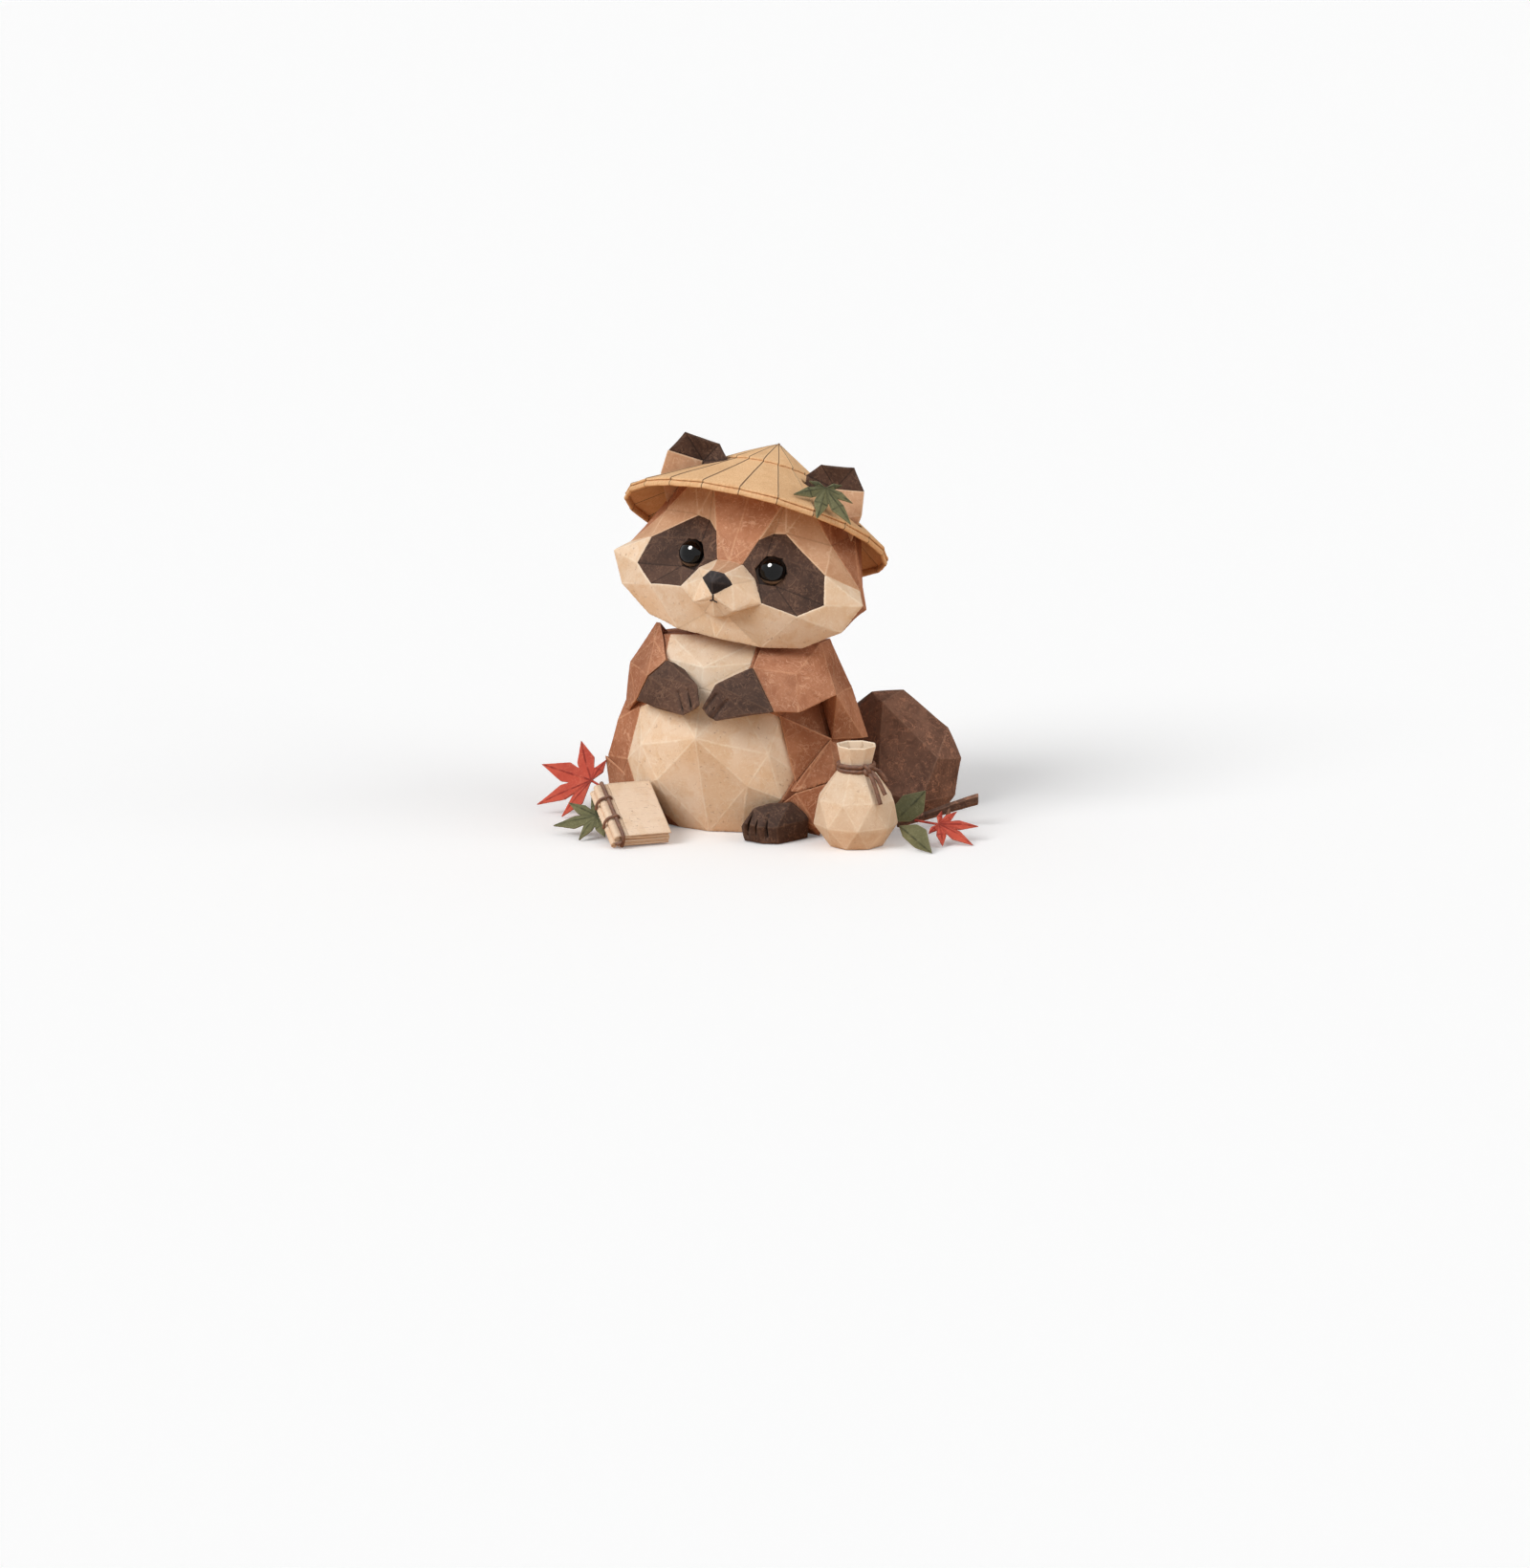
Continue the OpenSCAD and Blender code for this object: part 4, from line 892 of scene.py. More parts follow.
@dataclass(frozen=True)
class Washi:
    """Handmade paper: clouds of thicker pulp, blotches, flecks, long hairs, folds worn pale, and painted shade
    in its valleys.
    """

    name: str
    slot: str
    base: Colour
    deep: Colour
    hair: Colour
    worn: Colour
    hairs: float = 0.5
    clouds: float = 0.55
    blotches: float = 0.35
    flecks: float = 0.0
    fleck: Colour = shade(150, 104, 74)
    rim: float = 0.5
    wear: float = 0.5
    valley_shade: float = 0.45
    shadow: float = 0.5
    tone: float = 0.07
    roughness: float = 0.86
    gloss: float = 0.12
    cut: Colour | None = None

    def pulp(self, g: Graph) -> tuple[Socket, Socket, Socket]:
        """Makes the sheet before it is folded.

        The colour goes from base to deep with the clouds and blotches, to fleck in a few small spots, and
        to hair along the hairs and on the grain.

        Args:
            g: the material's nodes.

        Returns:
            The colour, and the grain and the hairs for the bump.
        """
        cloud = g.span(g.noise(CLOUDS, 4.0, 0.5), 0.36, 0.66)
        blotch = g.span(g.noise(BLOTCHES, 5.0, 0.9), 0.47, 0.68)
        grain = g.noise(GRAIN, 4.0)
        colour = g.mix(g.times(cloud, self.clouds), self.base, self.deep)
        colour = g.mix(g.times(blotch, self.blotches), colour, self.deep)
        spots = g.times(g.span(g.noise(SPOTS, 2.0, 0.6), 0.62, 0.74),
                        g.span(g.noise(SPOT_GROUPS, 2.0), 0.4, 0.62))
        colour = g.mix(g.times(spots, self.flecks), colour, self.fleck)
        short = g.fibres(SHORT_HAIRS, 0.035, 0.46, 0.6)
        hair = g.sum("MAXIMUM", g.times(short, 0.7), g.fibres(LONG_HAIRS, 0.02, 0.44, 0.58))
        colour = g.mix(g.times(hair, self.hairs), colour, self.hair)
        colour = g.mix(g.times(g.span(grain, 0.5, 0.75), 0.28), colour, self.hair)
        return colour, grain, hair

    def make(self) -> bpy.types.Material:
        """Builds the material: the pulp, worn pale within 0.7 mm of a ridge or cut edge, with painted shade in
        a valley.

        Returns:
            The material.
        """
        g = Graph(bpy.data.materials.new(self.name))
        colour, grain, hair = self.pulp(g)
        patchy = g.span(g.noise(WORN_PATCHES, 3.0), 0.3, 0.62, 0.15, 1.0)
        ridge = g.times(g.fade(g.value("ridge"), 0.1, 0.7), patchy)
        rim = g.fade(g.value("rim"), 0.1, 0.5)
        colour = g.mix(g.times(ridge, self.wear), colour, self.worn)
        colour = g.mix(g.times(rim, self.rim), colour, self.cut or self.worn)
        # Painted shade: within 0.6 mm of a valley fold or a pressed groove, the paper darkens to a darker copy
        # of deep.
        valley = g.fade(g.value("valley"), 0.0, 0.6)
        dark = tuple(self.shadow * x for x in self.deep[:3]) + (1.0,)
        colour = g.mix(g.times(valley, self.valley_shade), colour, dark)
        lumps = g.noise(LUMPS, 3.0, 0.4)
        self.finish(g, colour, g.total((grain, 0.5), (hair, 0.35), (lumps, 0.9), (ridge, 0.5)))
        return g.owner

    def finish(self, g: Graph, colour: Socket, height: Socket) -> None:
        """Gives each facet its own tone, and sets the shader.

        Args:
            g: the material's nodes.
            colour: the paper's colour.
            height: what its bump is made of.
        """
        g.feed(g.shader, Base_Color=g.toned(colour, self.tone), Roughness=self.roughness,
               Specular_IOR_Level=self.gloss)
        g.bump(height, 0.3 * MM, 0.55)


@dataclass(frozen=True)
class Straw(Washi):
    """Straw-coloured paper of the hat, with painted shade along the step of every pleat, a paler painted
    highlight beside it, and fine streaks towards the rim.
    """

    # Share and colour of the painted shade along each pleat's step.
    pleat_shade: float = 0.85
    pleat_shade_colour: Colour = shade(96, 58, 32)
    streaks: float = 0.5

    def make(self) -> bpy.types.Material:
        """Builds the material.

        In the hat's own frame the angle is atan2(y, x). Its distance to the nearest pleat, times the
        radius, gives the distance to the pleat's step, which is painted dark, as shade, up to 0.4 mm, with a
        paler painted highlight up to 0.9 mm.

        Returns:
            The material.
        """
        g = Graph(bpy.data.materials.new(self.name))
        colour, grain, hair = self.pulp(g)
        mapping = g.node("Mapping", Vector=g.place, Location=HAT.origin.tolist(),
                         Rotation=Matrix(HAT.axes.tolist()).to_euler("XYZ"))
        mapping.vector_type = "TEXTURE"
        axes = g.node("SeparateXYZ", Vector=mapping.outputs["Vector"]).outputs
        x, y = axes["X"], axes["Y"]
        angle = g.sum("ARCTAN2", y, x)
        radius = g.sum("SQRT", g.sum("ADD", g.times(x, x), g.times(y, y)))
        away = g.times(g.times(g.sum("PINGPONG", angle, math.pi / PLEATS), radius), 1 / MM)
        # Painted shade on the pleat's step, and a paler painted highlight beside it.
        pleat_shade = g.fade(away, 0.1, 0.4)
        pleat_highlight = g.times(g.fade(away, 0.4, 0.9), 0.4)
        spread = g.node("CombineXYZ", X=g.times(angle, 9.0), Y=g.times(radius, 90.0))
        streak = g.node("TexNoise", Vector=spread.outputs["Vector"], Scale=9.0, Detail=3.0).outputs["Fac"]
        colour = g.mix(g.times(g.span(streak, 0.42, 0.68), self.streaks), colour, self.deep)
        rim = g.times(g.fade(g.value("rim"), 0.1, 0.5), self.rim)
        # The paler colour serves both the real pale cut edge and the painted highlight by each pleat.
        colour = g.mix(g.sum("MAXIMUM", rim, pleat_highlight), colour, self.worn)
        colour = g.mix(g.times(pleat_shade, self.pleat_shade), colour, self.pleat_shade_colour)
        self.finish(g, colour, g.total((grain, 0.5), (hair, 0.3), (streak, 0.5), (pleat_shade, -1.2)))
        return g.owner


@dataclass(frozen=True)
class Laid(Washi):
    """Paper of the notebook, with faint broken laid lines parallel to its short edges."""

    spacing: float = 4.6
    strength: float = 0.4

    def pulp(self, g: Graph) -> tuple[Socket, Socket, Socket]:
        """Draws a brown line on the sheet at every spacing of the value laid.

        Args:
            g: the material's nodes.

        Returns:
            The colour, and the grain and the hairs for the bump.
        """
        colour, grain, hair = super().pulp(g)
        waver = g.times(g.sum("SUBTRACT", g.noise(190, 2.0), 0.5), 0.9)
        laid = g.sum("PINGPONG", g.sum("ADD", g.value("laid"), waver), self.spacing / 2)
        line = g.times(g.fade(laid, 0.04, 0.17), g.span(g.noise(420, 3.0), 0.45, 0.6))
        colour = g.mix(g.times(line, self.strength), colour, self.fleck)
        return colour, grain, hair


@dataclass(frozen=True)
class Bead:
    """The glossy black of the eyes, with a painted brown-grey reflection low on the bead."""

    name: str
    slot: str
    glass: Colour = shade(4, 4, 5)
    foot: Colour = shade(140, 119, 101)

    def make(self) -> bpy.types.Material:
        """Builds the material: black, with a painted brown-grey reflection on the lower part of the bead.

        Returns:
            The material.
        """
        g = Graph(bpy.data.materials.new(self.name))
        # Painted reflection of the cheeks and floor, brown-grey, in the lower part of the bead.
        painted_reflection = g.times(g.span(g.value("low"), 0.22, 0.42), g.span(g.noise(160, 2.0), 0.3, 0.7, 0.6, 1.0))
        g.feed(g.shader, Base_Color=g.mix(painted_reflection, self.glass, self.foot), Roughness=0.05,
               Specular_IOR_Level=0.26)
        return g.owner


@dataclass(frozen=True)
class Twist:
    """Paper cord: brown with pale clouds and fine hairs along it, and painted shade in the notch between its
    plies.
    """

    name: str
    slot: str
    base: Colour
    deep: Colour
    pale: Colour

    def make(self) -> bpy.types.Material:
        """Builds the material: pale clouds and hairs, and painted shade, a dark line, in the notch between the
        plies.

        Returns:
            The material.
        """
        g = Graph(bpy.data.materials.new(self.name))
        colour = g.mix(g.span(g.noise(300, 4.0), 0.35, 0.65), self.base, self.pale)
        colour = g.mix(g.times(g.fibres(600, 0.05, 0.4, 0.55), 0.5), colour, self.pale)
        # Painted shade in the notch between the plies.
        colour = g.mix(g.times(g.span(g.value("ply"), 0.1, 0.9), 0.35), colour, self.deep)
        g.feed(g.shader, Base_Color=colour, Roughness=0.78, Specular_IOR_Level=0.3)
        g.bump(g.noise(1600, 3.0), 0.15 * MM, 0.5)
        return g.owner


class Finish(Enum):
    """Every finish of the figure."""

    CREAM = Washi("cream_washi", "cream_washi", shade(238, 216, 191), shade(224, 190, 151),
                  shade(250, 238, 220), shade(250, 235, 213), hairs=0.3, clouds=0.65, blotches=0.6,
                  flecks=0.5, rim=0.5, wear=0.5, valley_shade=0.3, shadow=0.7, tone=0.08)
    POUCH = Washi("pouch_washi", "cream_washi", shade(232, 210, 184), shade(216, 182, 146),
                  shade(248, 234, 214), shade(248, 232, 208), hairs=0.25, clouds=0.5, blotches=0.5,
                  flecks=0.5, rim=0.9, wear=0.35, valley_shade=0.35, shadow=0.7, tone=0.07)
    PAGE = Laid("page_washi", "cream_washi", shade(236, 210, 184), shade(222, 188, 152),
                shade(248, 232, 208), shade(244, 224, 196), hairs=0.25, clouds=0.4, blotches=0.4,
                flecks=0.9, rim=0.25, tone=0.03)
    CHESTNUT = Washi("chestnut_washi", "chestnut_washi", shade(180, 124, 92), shade(146, 90, 61),
                     shade(216, 168, 136), shade(212, 160, 124), hairs=0.6, clouds=0.7, blotches=0.5,
                     wear=0.5, tone=0.11)
    # A lighter copy of the chestnut paper: painted light that lifts the forehead out of the hat's shade.
    FOREHEAD = Washi("forehead_lit_washi", "chestnut_washi", shade(205, 150, 116), shade(172, 114, 81),
                     shade(230, 186, 154), shade(226, 178, 142), hairs=0.6, clouds=0.7, blotches=0.5,
                     wear=0.5, tone=0.08)
    TAN = Washi("tan_washi", "tan_washi", shade(208, 166, 132), shade(184, 134, 98), shade(232, 200, 167),
                shade(236, 206, 172), hairs=0.45, clouds=0.6, blotches=0.45, valley_shade=0.35, shadow=0.6,
                tone=0.05)
    BARK = Washi("bark_washi", "bark_washi", shade(86, 62, 50), shade(54, 37, 30), shade(138, 106, 86),
                 shade(116, 88, 70), hairs=0.5, clouds=0.65, blotches=0.5, rim=0.3, wear=0.35, valley_shade=0.6,
                 shadow=0.3, tone=0.18)
    # The tail's wide tone reach also carries its painted light and shade, from the way its facets face.
    TAIL = Washi("tail_washi", "tail_washi", shade(116, 84, 68), shade(72, 48, 38), shade(166, 118, 92),
                 shade(146, 112, 92), hairs=0.6, clouds=0.65, blotches=0.5, rim=0.3, wear=0.4, tone=0.5)
    STRAW = Straw("straw_washi", "straw_washi", shade(234, 190, 142), shade(206, 156, 106),
                  shade(246, 214, 170), shade(246, 212, 166), hairs=0.25, clouds=0.35, blotches=0.3,
                  rim=0.35, tone=0.05)
    GREEN = Washi("green_washi", "green_washi", shade(112, 110, 76), shade(80, 82, 54),
                  shade(142, 140, 104), shade(48, 50, 32), hairs=0.35, rim=0.4, wear=0.8, tone=0.06,
                  cut=shade(146, 144, 108))
    RED = Washi("red_washi", "red_washi", shade(204, 88, 68), shade(168, 56, 44), shade(224, 124, 98),
                shade(126, 32, 26), hairs=0.35, rim=0.35, wear=0.85, tone=0.06, cut=shade(226, 124, 100))
    NOSE = Washi("nose_paper", "nose_paper", shade(50, 45, 45), shade(32, 28, 29), shade(78, 70, 69),
                 shade(84, 75, 73), hairs=0.25, tone=0.14, roughness=0.8)
    # Dark card of the inner forms; where it shows through the eye holes, its dark brown is also the sockets'
    # painted shade.
    CARD = Washi("packed_card", "packed_card", shade(52, 37, 31), shade(40, 28, 24), shade(72, 54, 45),
                 shade(72, 54, 45), hairs=0.2, rim=0.1, wear=0.1)
    EYE = Bead("eye_black", "eye_black")
    CORD = Twist("paper_cord", "cord", shade(104, 68, 49), shade(50, 32, 24), shade(134, 93, 70))


class Workshop:
    """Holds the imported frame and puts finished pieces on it."""

    def __init__(self, frame: dict) -> None:
        """Keeps the nodes, the body of each node and one material for each finish.
        """
        self.nodes = frame["nodes"]
        bodies = frame["record"]["behaviour"]["bodies"]
        self.body_of = {node: body for body, nodes in bodies.items() for node in nodes}
        self.materials = {finish: finish.value.make() for finish in Finish}

    def dress(self, obj: bpy.types.Object, finish: Finish) -> None:
        """Gives an object its finish as its only material."""
        obj.data.materials.clear()
        obj.data.materials.append(self.materials[finish])

    def place(
        self, surface: Surface, name: str, body: str, finish: Finish, *stands_for: str
    ) -> bpy.types.Object:
        """Puts a new surface on a body.

        Args:
            surface: the finished shape, of which nothing goes below the floor.
            name: the piece's name.
            body: the CAD body that it rides on.
            finish: what it is made of.
            stands_for: nodes that it replaces.

        Returns:
            The new object.
        """
        surface.points[:, 2] = np.maximum(surface.points[:, 2], 0.0)
        obj = surface.mesh(name)
        self.dress(obj, finish)
        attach(obj, body)
        if stands_for:
            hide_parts(*stands_for)
        log.info("%s: %d faces on %s", name, len(surface.faces), body)
        return obj

    def fold(self, node: str, finish: Finish, folding: Folding = Folding(),
             shaped: Callable[[Array], Array] | None = None) -> bpy.types.Object:
        """Replaces a node by its folded sheet.

        Args:
            node: the node's name.
            finish: what the sheet is made of.
            folding: how it is folded.
            shaped: moves the finished points, if given.

        Returns:
            The sheet.
        """
        seed = sum(ord(letter) * (i + 1) for i, letter in enumerate(node))
        surface = folding.work(self.nodes[node], seed)
        if shaped:
            surface.points = shaped(surface.points)
        return self.place(surface, node + "_paper", self.body_of[node], finish, node)

    def keep(self, node: str, finish: Finish) -> None:
        """Shows a node as it is, with a better finish."""
        self.dress(self.nodes[node], finish)


@dataclass
class Stage:
    """Floor, lamps and camera. A lamp's direction is right, up and back of the camera."""

    target: Triple = (0.01626, 0.00446, 0.0167)
    azimuth: float = 20.0
    elevation: float = 13.0
    distance: float = 2.05
    lens: float = 100.0
    film: float = 36.0
    lit: Triple = (0.01, 0.0, 0.09)
    lamp_distance: float = 1.0
    suns: tuple[tuple[str, Triple, float, float], ...] = (
        ("key", (-0.62, 0.47, 0.63), 1.85, 32.0),
        ("fill", (0.85, 0.4, 0.45), 0.75, 50.0),
    )
    catch: Triple = (-0.3, 0.72, 0.62)
    catch_power: float = 42.0
    catch_size: tuple[float, float] = (0.5, 0.56)
    world_light: float = 0.45
    floor_reach: float = 14.0
    floor_drop: float = 0.2 * MM
    floor_colour: Colour = (0.95, 0.95, 0.95, 1.0)
    floor_bounce: Colour = (0.66, 0.43, 0.27, 1.0)
    floor_glow: float = 0.1

    def axes(self) -> Array:
        """Right, up and back of the camera as columns, from its azimuth and elevation."""
        a, e = math.radians(self.azimuth), math.radians(self.elevation)
        right = np.array([math.cos(a), math.sin(a), 0.0])
        back = np.array([math.sin(a) * math.cos(e), -math.cos(a) * math.cos(e), math.sin(e)])
        return np.stack([right, np.cross(back, right), back], 1)

    def set_down(self, obj: bpy.types.Object, axes: Array, place: Array) -> None:
        """Links an object into the scene.

        Args:
            obj: a new object.
            axes: its axes as columns.
            place: where it goes.
        """
        bpy.context.scene.collection.objects.link(obj)
        matrix = np.eye(4)
        matrix[:3, :3] = axes
        matrix[:3, 3] = place
        obj.matrix_world = Matrix(matrix.tolist())

    def camera(self) -> None:
        """Puts the camera where the photograph was taken from."""
        data = bpy.data.cameras.new("camera")
        data.lens = self.lens
        data.sensor_fit = "VERTICAL"
        data.sensor_height = self.film
        obj = bpy.data.objects.new("camera", data)
        axes = self.axes()
        self.set_down(obj, axes, np.array(self.target) + self.distance * axes[:, 2])
        bpy.context.scene.camera = obj

    def lamp(self, name: str, kind: str, way: Triple, energy: float) -> bpy.types.Light:
        """Adds a lamp that faces the figure.

        Args:
            name: the lamp's name.
            kind: SUN, which lights the paper, or AREA, which only glosses show.
            way: its direction.
            energy: how strong it is.

        Returns:
            The lamp's data.
        """
        data = bpy.data.lights.new(name, kind)
        data.energy = energy
        obj = bpy.data.objects.new(name, data)
        back = self.axes() @ unit(np.array(way, float))
        right = unit(np.cross([0.0, 0.0, 1.0], back))
        axes = np.stack([right, np.cross(back, right), back], 1)
        self.set_down(obj, axes, np.array(self.lit) + self.lamp_distance * back)
        obj.visible_glossy = kind == "AREA"
        obj.visible_diffuse = kind != "AREA"
        return data

    def floor(self) -> None:
        """A level white floor. Light that it throws back on paper is warm, as from a wooden table."""
        reach = np.linspace(-self.floor_reach, self.floor_reach, 30)
        x, y = np.meshgrid(reach, reach, indexing="ij")
        piece = grid(np.stack([x, y, np.full_like(x, -self.floor_drop)], -1)).mesh("floor")
        g = Graph(bpy.data.materials.new("pale_floor"))
        seen = g.seen()
        g.feed(g.shader, Base_Color=g.mix(seen, self.floor_bounce, self.floor_colour), Roughness=1.0,
               Specular_IOR_Level=0.0, Emission_Color=WHITE, Emission_Strength=g.times(seen, self.floor_glow))
        piece.data.materials.append(g.owner)

    def light(self) -> None:
        """A soft key from the upper left, a weak fill, a catch light, and a world that is seen white."""
        for name, way, energy, spread in self.suns:
            self.lamp(name, "SUN", way, energy).angle = math.radians(spread)
        catch = self.lamp("catch", "AREA", self.catch, self.catch_power)
        catch.shape = "ELLIPSE"
        catch.size, catch.size_y = self.catch_size
        world = bpy.data.worlds.new("studio")
        bpy.context.scene.world = world
        g = Graph(world, "Background")
        g.feed(g.shader, Color=WHITE, Strength=g.span(g.seen(), 0.0, 1.0, self.world_light, 1.0))
        bpy.context.scene.view_settings.view_transform = "Standard"


@dataclass
class Head:
    """Face, ears, eyes and the mouth's line."""

    eye: Triple = (19.7 * MM, -30.0 * MM, 10.5 * MM)
    eye_radius: float = 6.3 * MM
    eye_up: Triple = (0.0, -0.35, 0.94)
    line_radius: float = 0.42 * MM
    stand_off: float = 80 * MM
    ear_soften: float = 0.12
    mouth: tuple[tuple[float, float], ...] = ((0.0, -1.3), (0.1, -2.6), (0.0, -4.1))
    arms: tuple[tuple[tuple[float, float], ...], ...] = (((-1.5, -4.6), (-0.7, -4.3), (0.0, -3.9)),
                                                         ((2.1, -4.7), (1.0, -4.3), (0.0, -3.9)))
    sheets: tuple[tuple[str, Finish, float], ...] = (
        ("face_mask", Finish.CREAM, 0.12), ("lower_lip", Finish.CREAM, 0.16),
        ("muzzle_left", Finish.CREAM, 0.34), ("muzzle_right", Finish.CREAM, 0.34),
        # The forehead takes the lighter copy of the chestnut paper, painted light under the hat's brim.
        ("forehead", Finish.FOREHEAD, 0.1), ("head_back", Finish.CHESTNUT, 0.0),
        ("nose_bridge", Finish.TAN, 0.26), ("brow_left", Finish.TAN, 0.18), ("brow_right", Finish.TAN, 0.18),
        ("ear_lining_left", Finish.TAN, 0.0), ("ear_lining_right", Finish.TAN, 0.0),
        ("eye_patch_left", Finish.BARK, 0.0), ("eye_patch_right", Finish.BARK, 0.0),
        ("ear_left", Finish.BARK, 0.0), ("ear_right", Finish.BARK, 0.0), ("nose", Finish.NOSE, 0.45),
    )

    def eyeball(self, side: int) -> Surface:
        """Makes a bead: (r sin t, r cos t) turned round, with the value low growing from its middle down,
        where the painted reflection goes.

        Args:
            side: 1 for the viewer's right and -1 for the left.

        Returns:
            The bead in its place.
        """
        t = np.linspace(math.pi - 0.01, 0.01, 48)
        ball = lathe(self.eye_radius * np.sin(t), self.eye_radius * np.cos(t), 72)
        low = np.clip(-(ball.points @ np.array(self.eye_up)) / self.eye_radius, 0, 1)
        middle = np.array([side * self.eye[0], self.eye[1], self.eye[2]])
        return Surface(HEAD.out(ball.points + middle), ball.faces, {"low": low})

    def mouth_line(self, skin: Sequence[bpy.types.Object]) -> Surface:
        """Draws the line under the nose and its two short arms, laid on the sheets that are under them.

        Args:
            skin: the sheets.

        Returns:
            The three lines.
        """
        trees = [BVHTree.FromObject(obj, bpy.context.evaluated_depsgraph_get()) for obj in skin]
        way = HEAD.axes[:, 1]
        strands = []
        for corners in (self.mouth, *self.arms):
            flat = smooth_path([[x * MM, 0.0, z * MM] for x, z in corners], 8)
            start = HEAD.out(flat - np.array([0, self.stand_off, 0]))
            reach = [min(hit for hit in (tree.ray_cast(p.tolist(), way.tolist())[3] for tree in trees) if hit)
                     for p in start]
            line = start + np.array(reach)[:, None] * way
            strands.append(rope(line, self.line_radius, way, sides=10, notched=0.0))
        return together(strands)

    def build(self, shop: Workshop) -> None:
        """Dresses every node of the head, and adds the eyes and the mouth's line.

        Args:
            shop: puts the pieces on the frame.
        """
        made = {}
        for name, finish, lift in self.sheets:
            soften = self.ear_soften if "ear_" in name else Folding.soften
            made[name] = shop.fold(name, finish, Folding(lift=lift * MM, soften=soften))
        # The inner card shows through the eye holes, where its dark brown is partly painted shade of the
        # sockets.
        for name in ("head_form", "neck_tube"):
            shop.keep(name, Finish.CARD)
        shop.place(self.eyeball(1), "eye_right_bead", "head", Finish.EYE, "eye_right")
        shop.place(self.eyeball(-1), "eye_left_bead", "head", Finish.EYE, "eye_left")
        bpy.context.view_layer.update()
        skin = [made[name] for name in ("muzzle_left", "muzzle_right", "lower_lip", "face_mask")]
        shop.place(self.mouth_line(skin), "mouth_line", "head", Finish.NOSE)


@dataclass
class Hat:
    """The pleated straw-coloured hat and its leaf."""

    paper: Folding = Folding(least_turn=9.0, coarse=3.2 * MM, fine=1.2 * MM, band=0.5 * MM, pillow=0.12 * MM,
                             wander=0.12 * MM, roundness=0.4 * MM)
    leaf: Folding = Folding(coarse=1.6 * MM, fine=0.7 * MM, pillow=0.1 * MM, roundness=0.4 * MM)

    def flattened(self, points: Array) -> Array:
        """Draws the paper straight from pleat to pleat.

        A ring becomes a polygon with its corners at the pleats: the radius is multiplied by
        cos(half a pleat) / cos(angle from the pleat's middle).

        Args:
            points: the round paper's points.

        Returns:
            The moved points.
        """
        own = HAT.home(points)
        half = math.pi / PLEATS
        angle = np.arctan2(own[:, 1], own[:, 0])
        own[:, :2] *= (math.cos(half) / np.cos(angle % (2 * half) - half))[:, None]
        return HAT.out(own)

    def build(self, shop: Workshop) -> None:
        """Dresses the cone, its second layer, the tip, the rim and the leaf.

        Args:
            shop: puts the pieces on the frame.
        """
        for name in ("hat_cone", "hat_cap", "hat_rim"):
            shop.fold(name, Finish.STRAW, self.paper, self.flattened)
        shop.fold("hat_tip", Finish.STRAW, Folding(pillow=0.0, wander=0.12 * MM))
        shop.fold("hat_leaf", Finish.GREEN, self.leaf)


@dataclass
class Body:
    """Belly, coat, sleeves, paws, feet and tail."""

    cream: tuple[str, ...] = ("belly", "chest")
    chestnut: tuple[str, ...] = ("coat", "sleeve_left", "sleeve_right", "coat_flare", "hip_fold_upper",
                                 "hip_fold_middle", "hip_fold_lower", "hip_fold_left", "base_card")
    toes: dict[str, tuple] = field(default_factory=lambda: {
        "paw_left": (((-7.5, 69.2), (-4.0, 61.0)), ((-2.5, 70.9), (1.0, 62.8))),
        "paw_right": (((13.0, 70.4), (8.5, 64.0)), ((18.4, 67.9), (11.9, 59.5))),
        "foot_right": (((27.0, 13.0), (25.0, 3.0)), ((34.5, 13.0), (34.5, 3.0))),
        "foot_left": (((-27.0, 13.0), (-25.0, 3.0)), ((-34.5, 13.0), (-34.5, 3.0))),
    })

    def build(self, shop: Workshop) -> None:
        """Dresses every node of the body.

        Args:
            shop: puts the pieces on the frame.
        """
        for names, finish in ((self.cream, Finish.CREAM), (self.chestnut, Finish.CHESTNUT)):
            for name in names:
                shop.fold(name, finish)
        for name, grooves in self.toes.items():
            shop.fold(name, Finish.BARK, Folding(grooves=grooves))
        # Painted light: the tail's facets that face up and to the right get a lighter tone, those facing away
        # a darker one.
        shop.fold("tail", Finish.TAIL, Folding(painted_light_way=(0.75, -0.1, 0.65)))
        shop.keep("body_form", Finish.CARD)


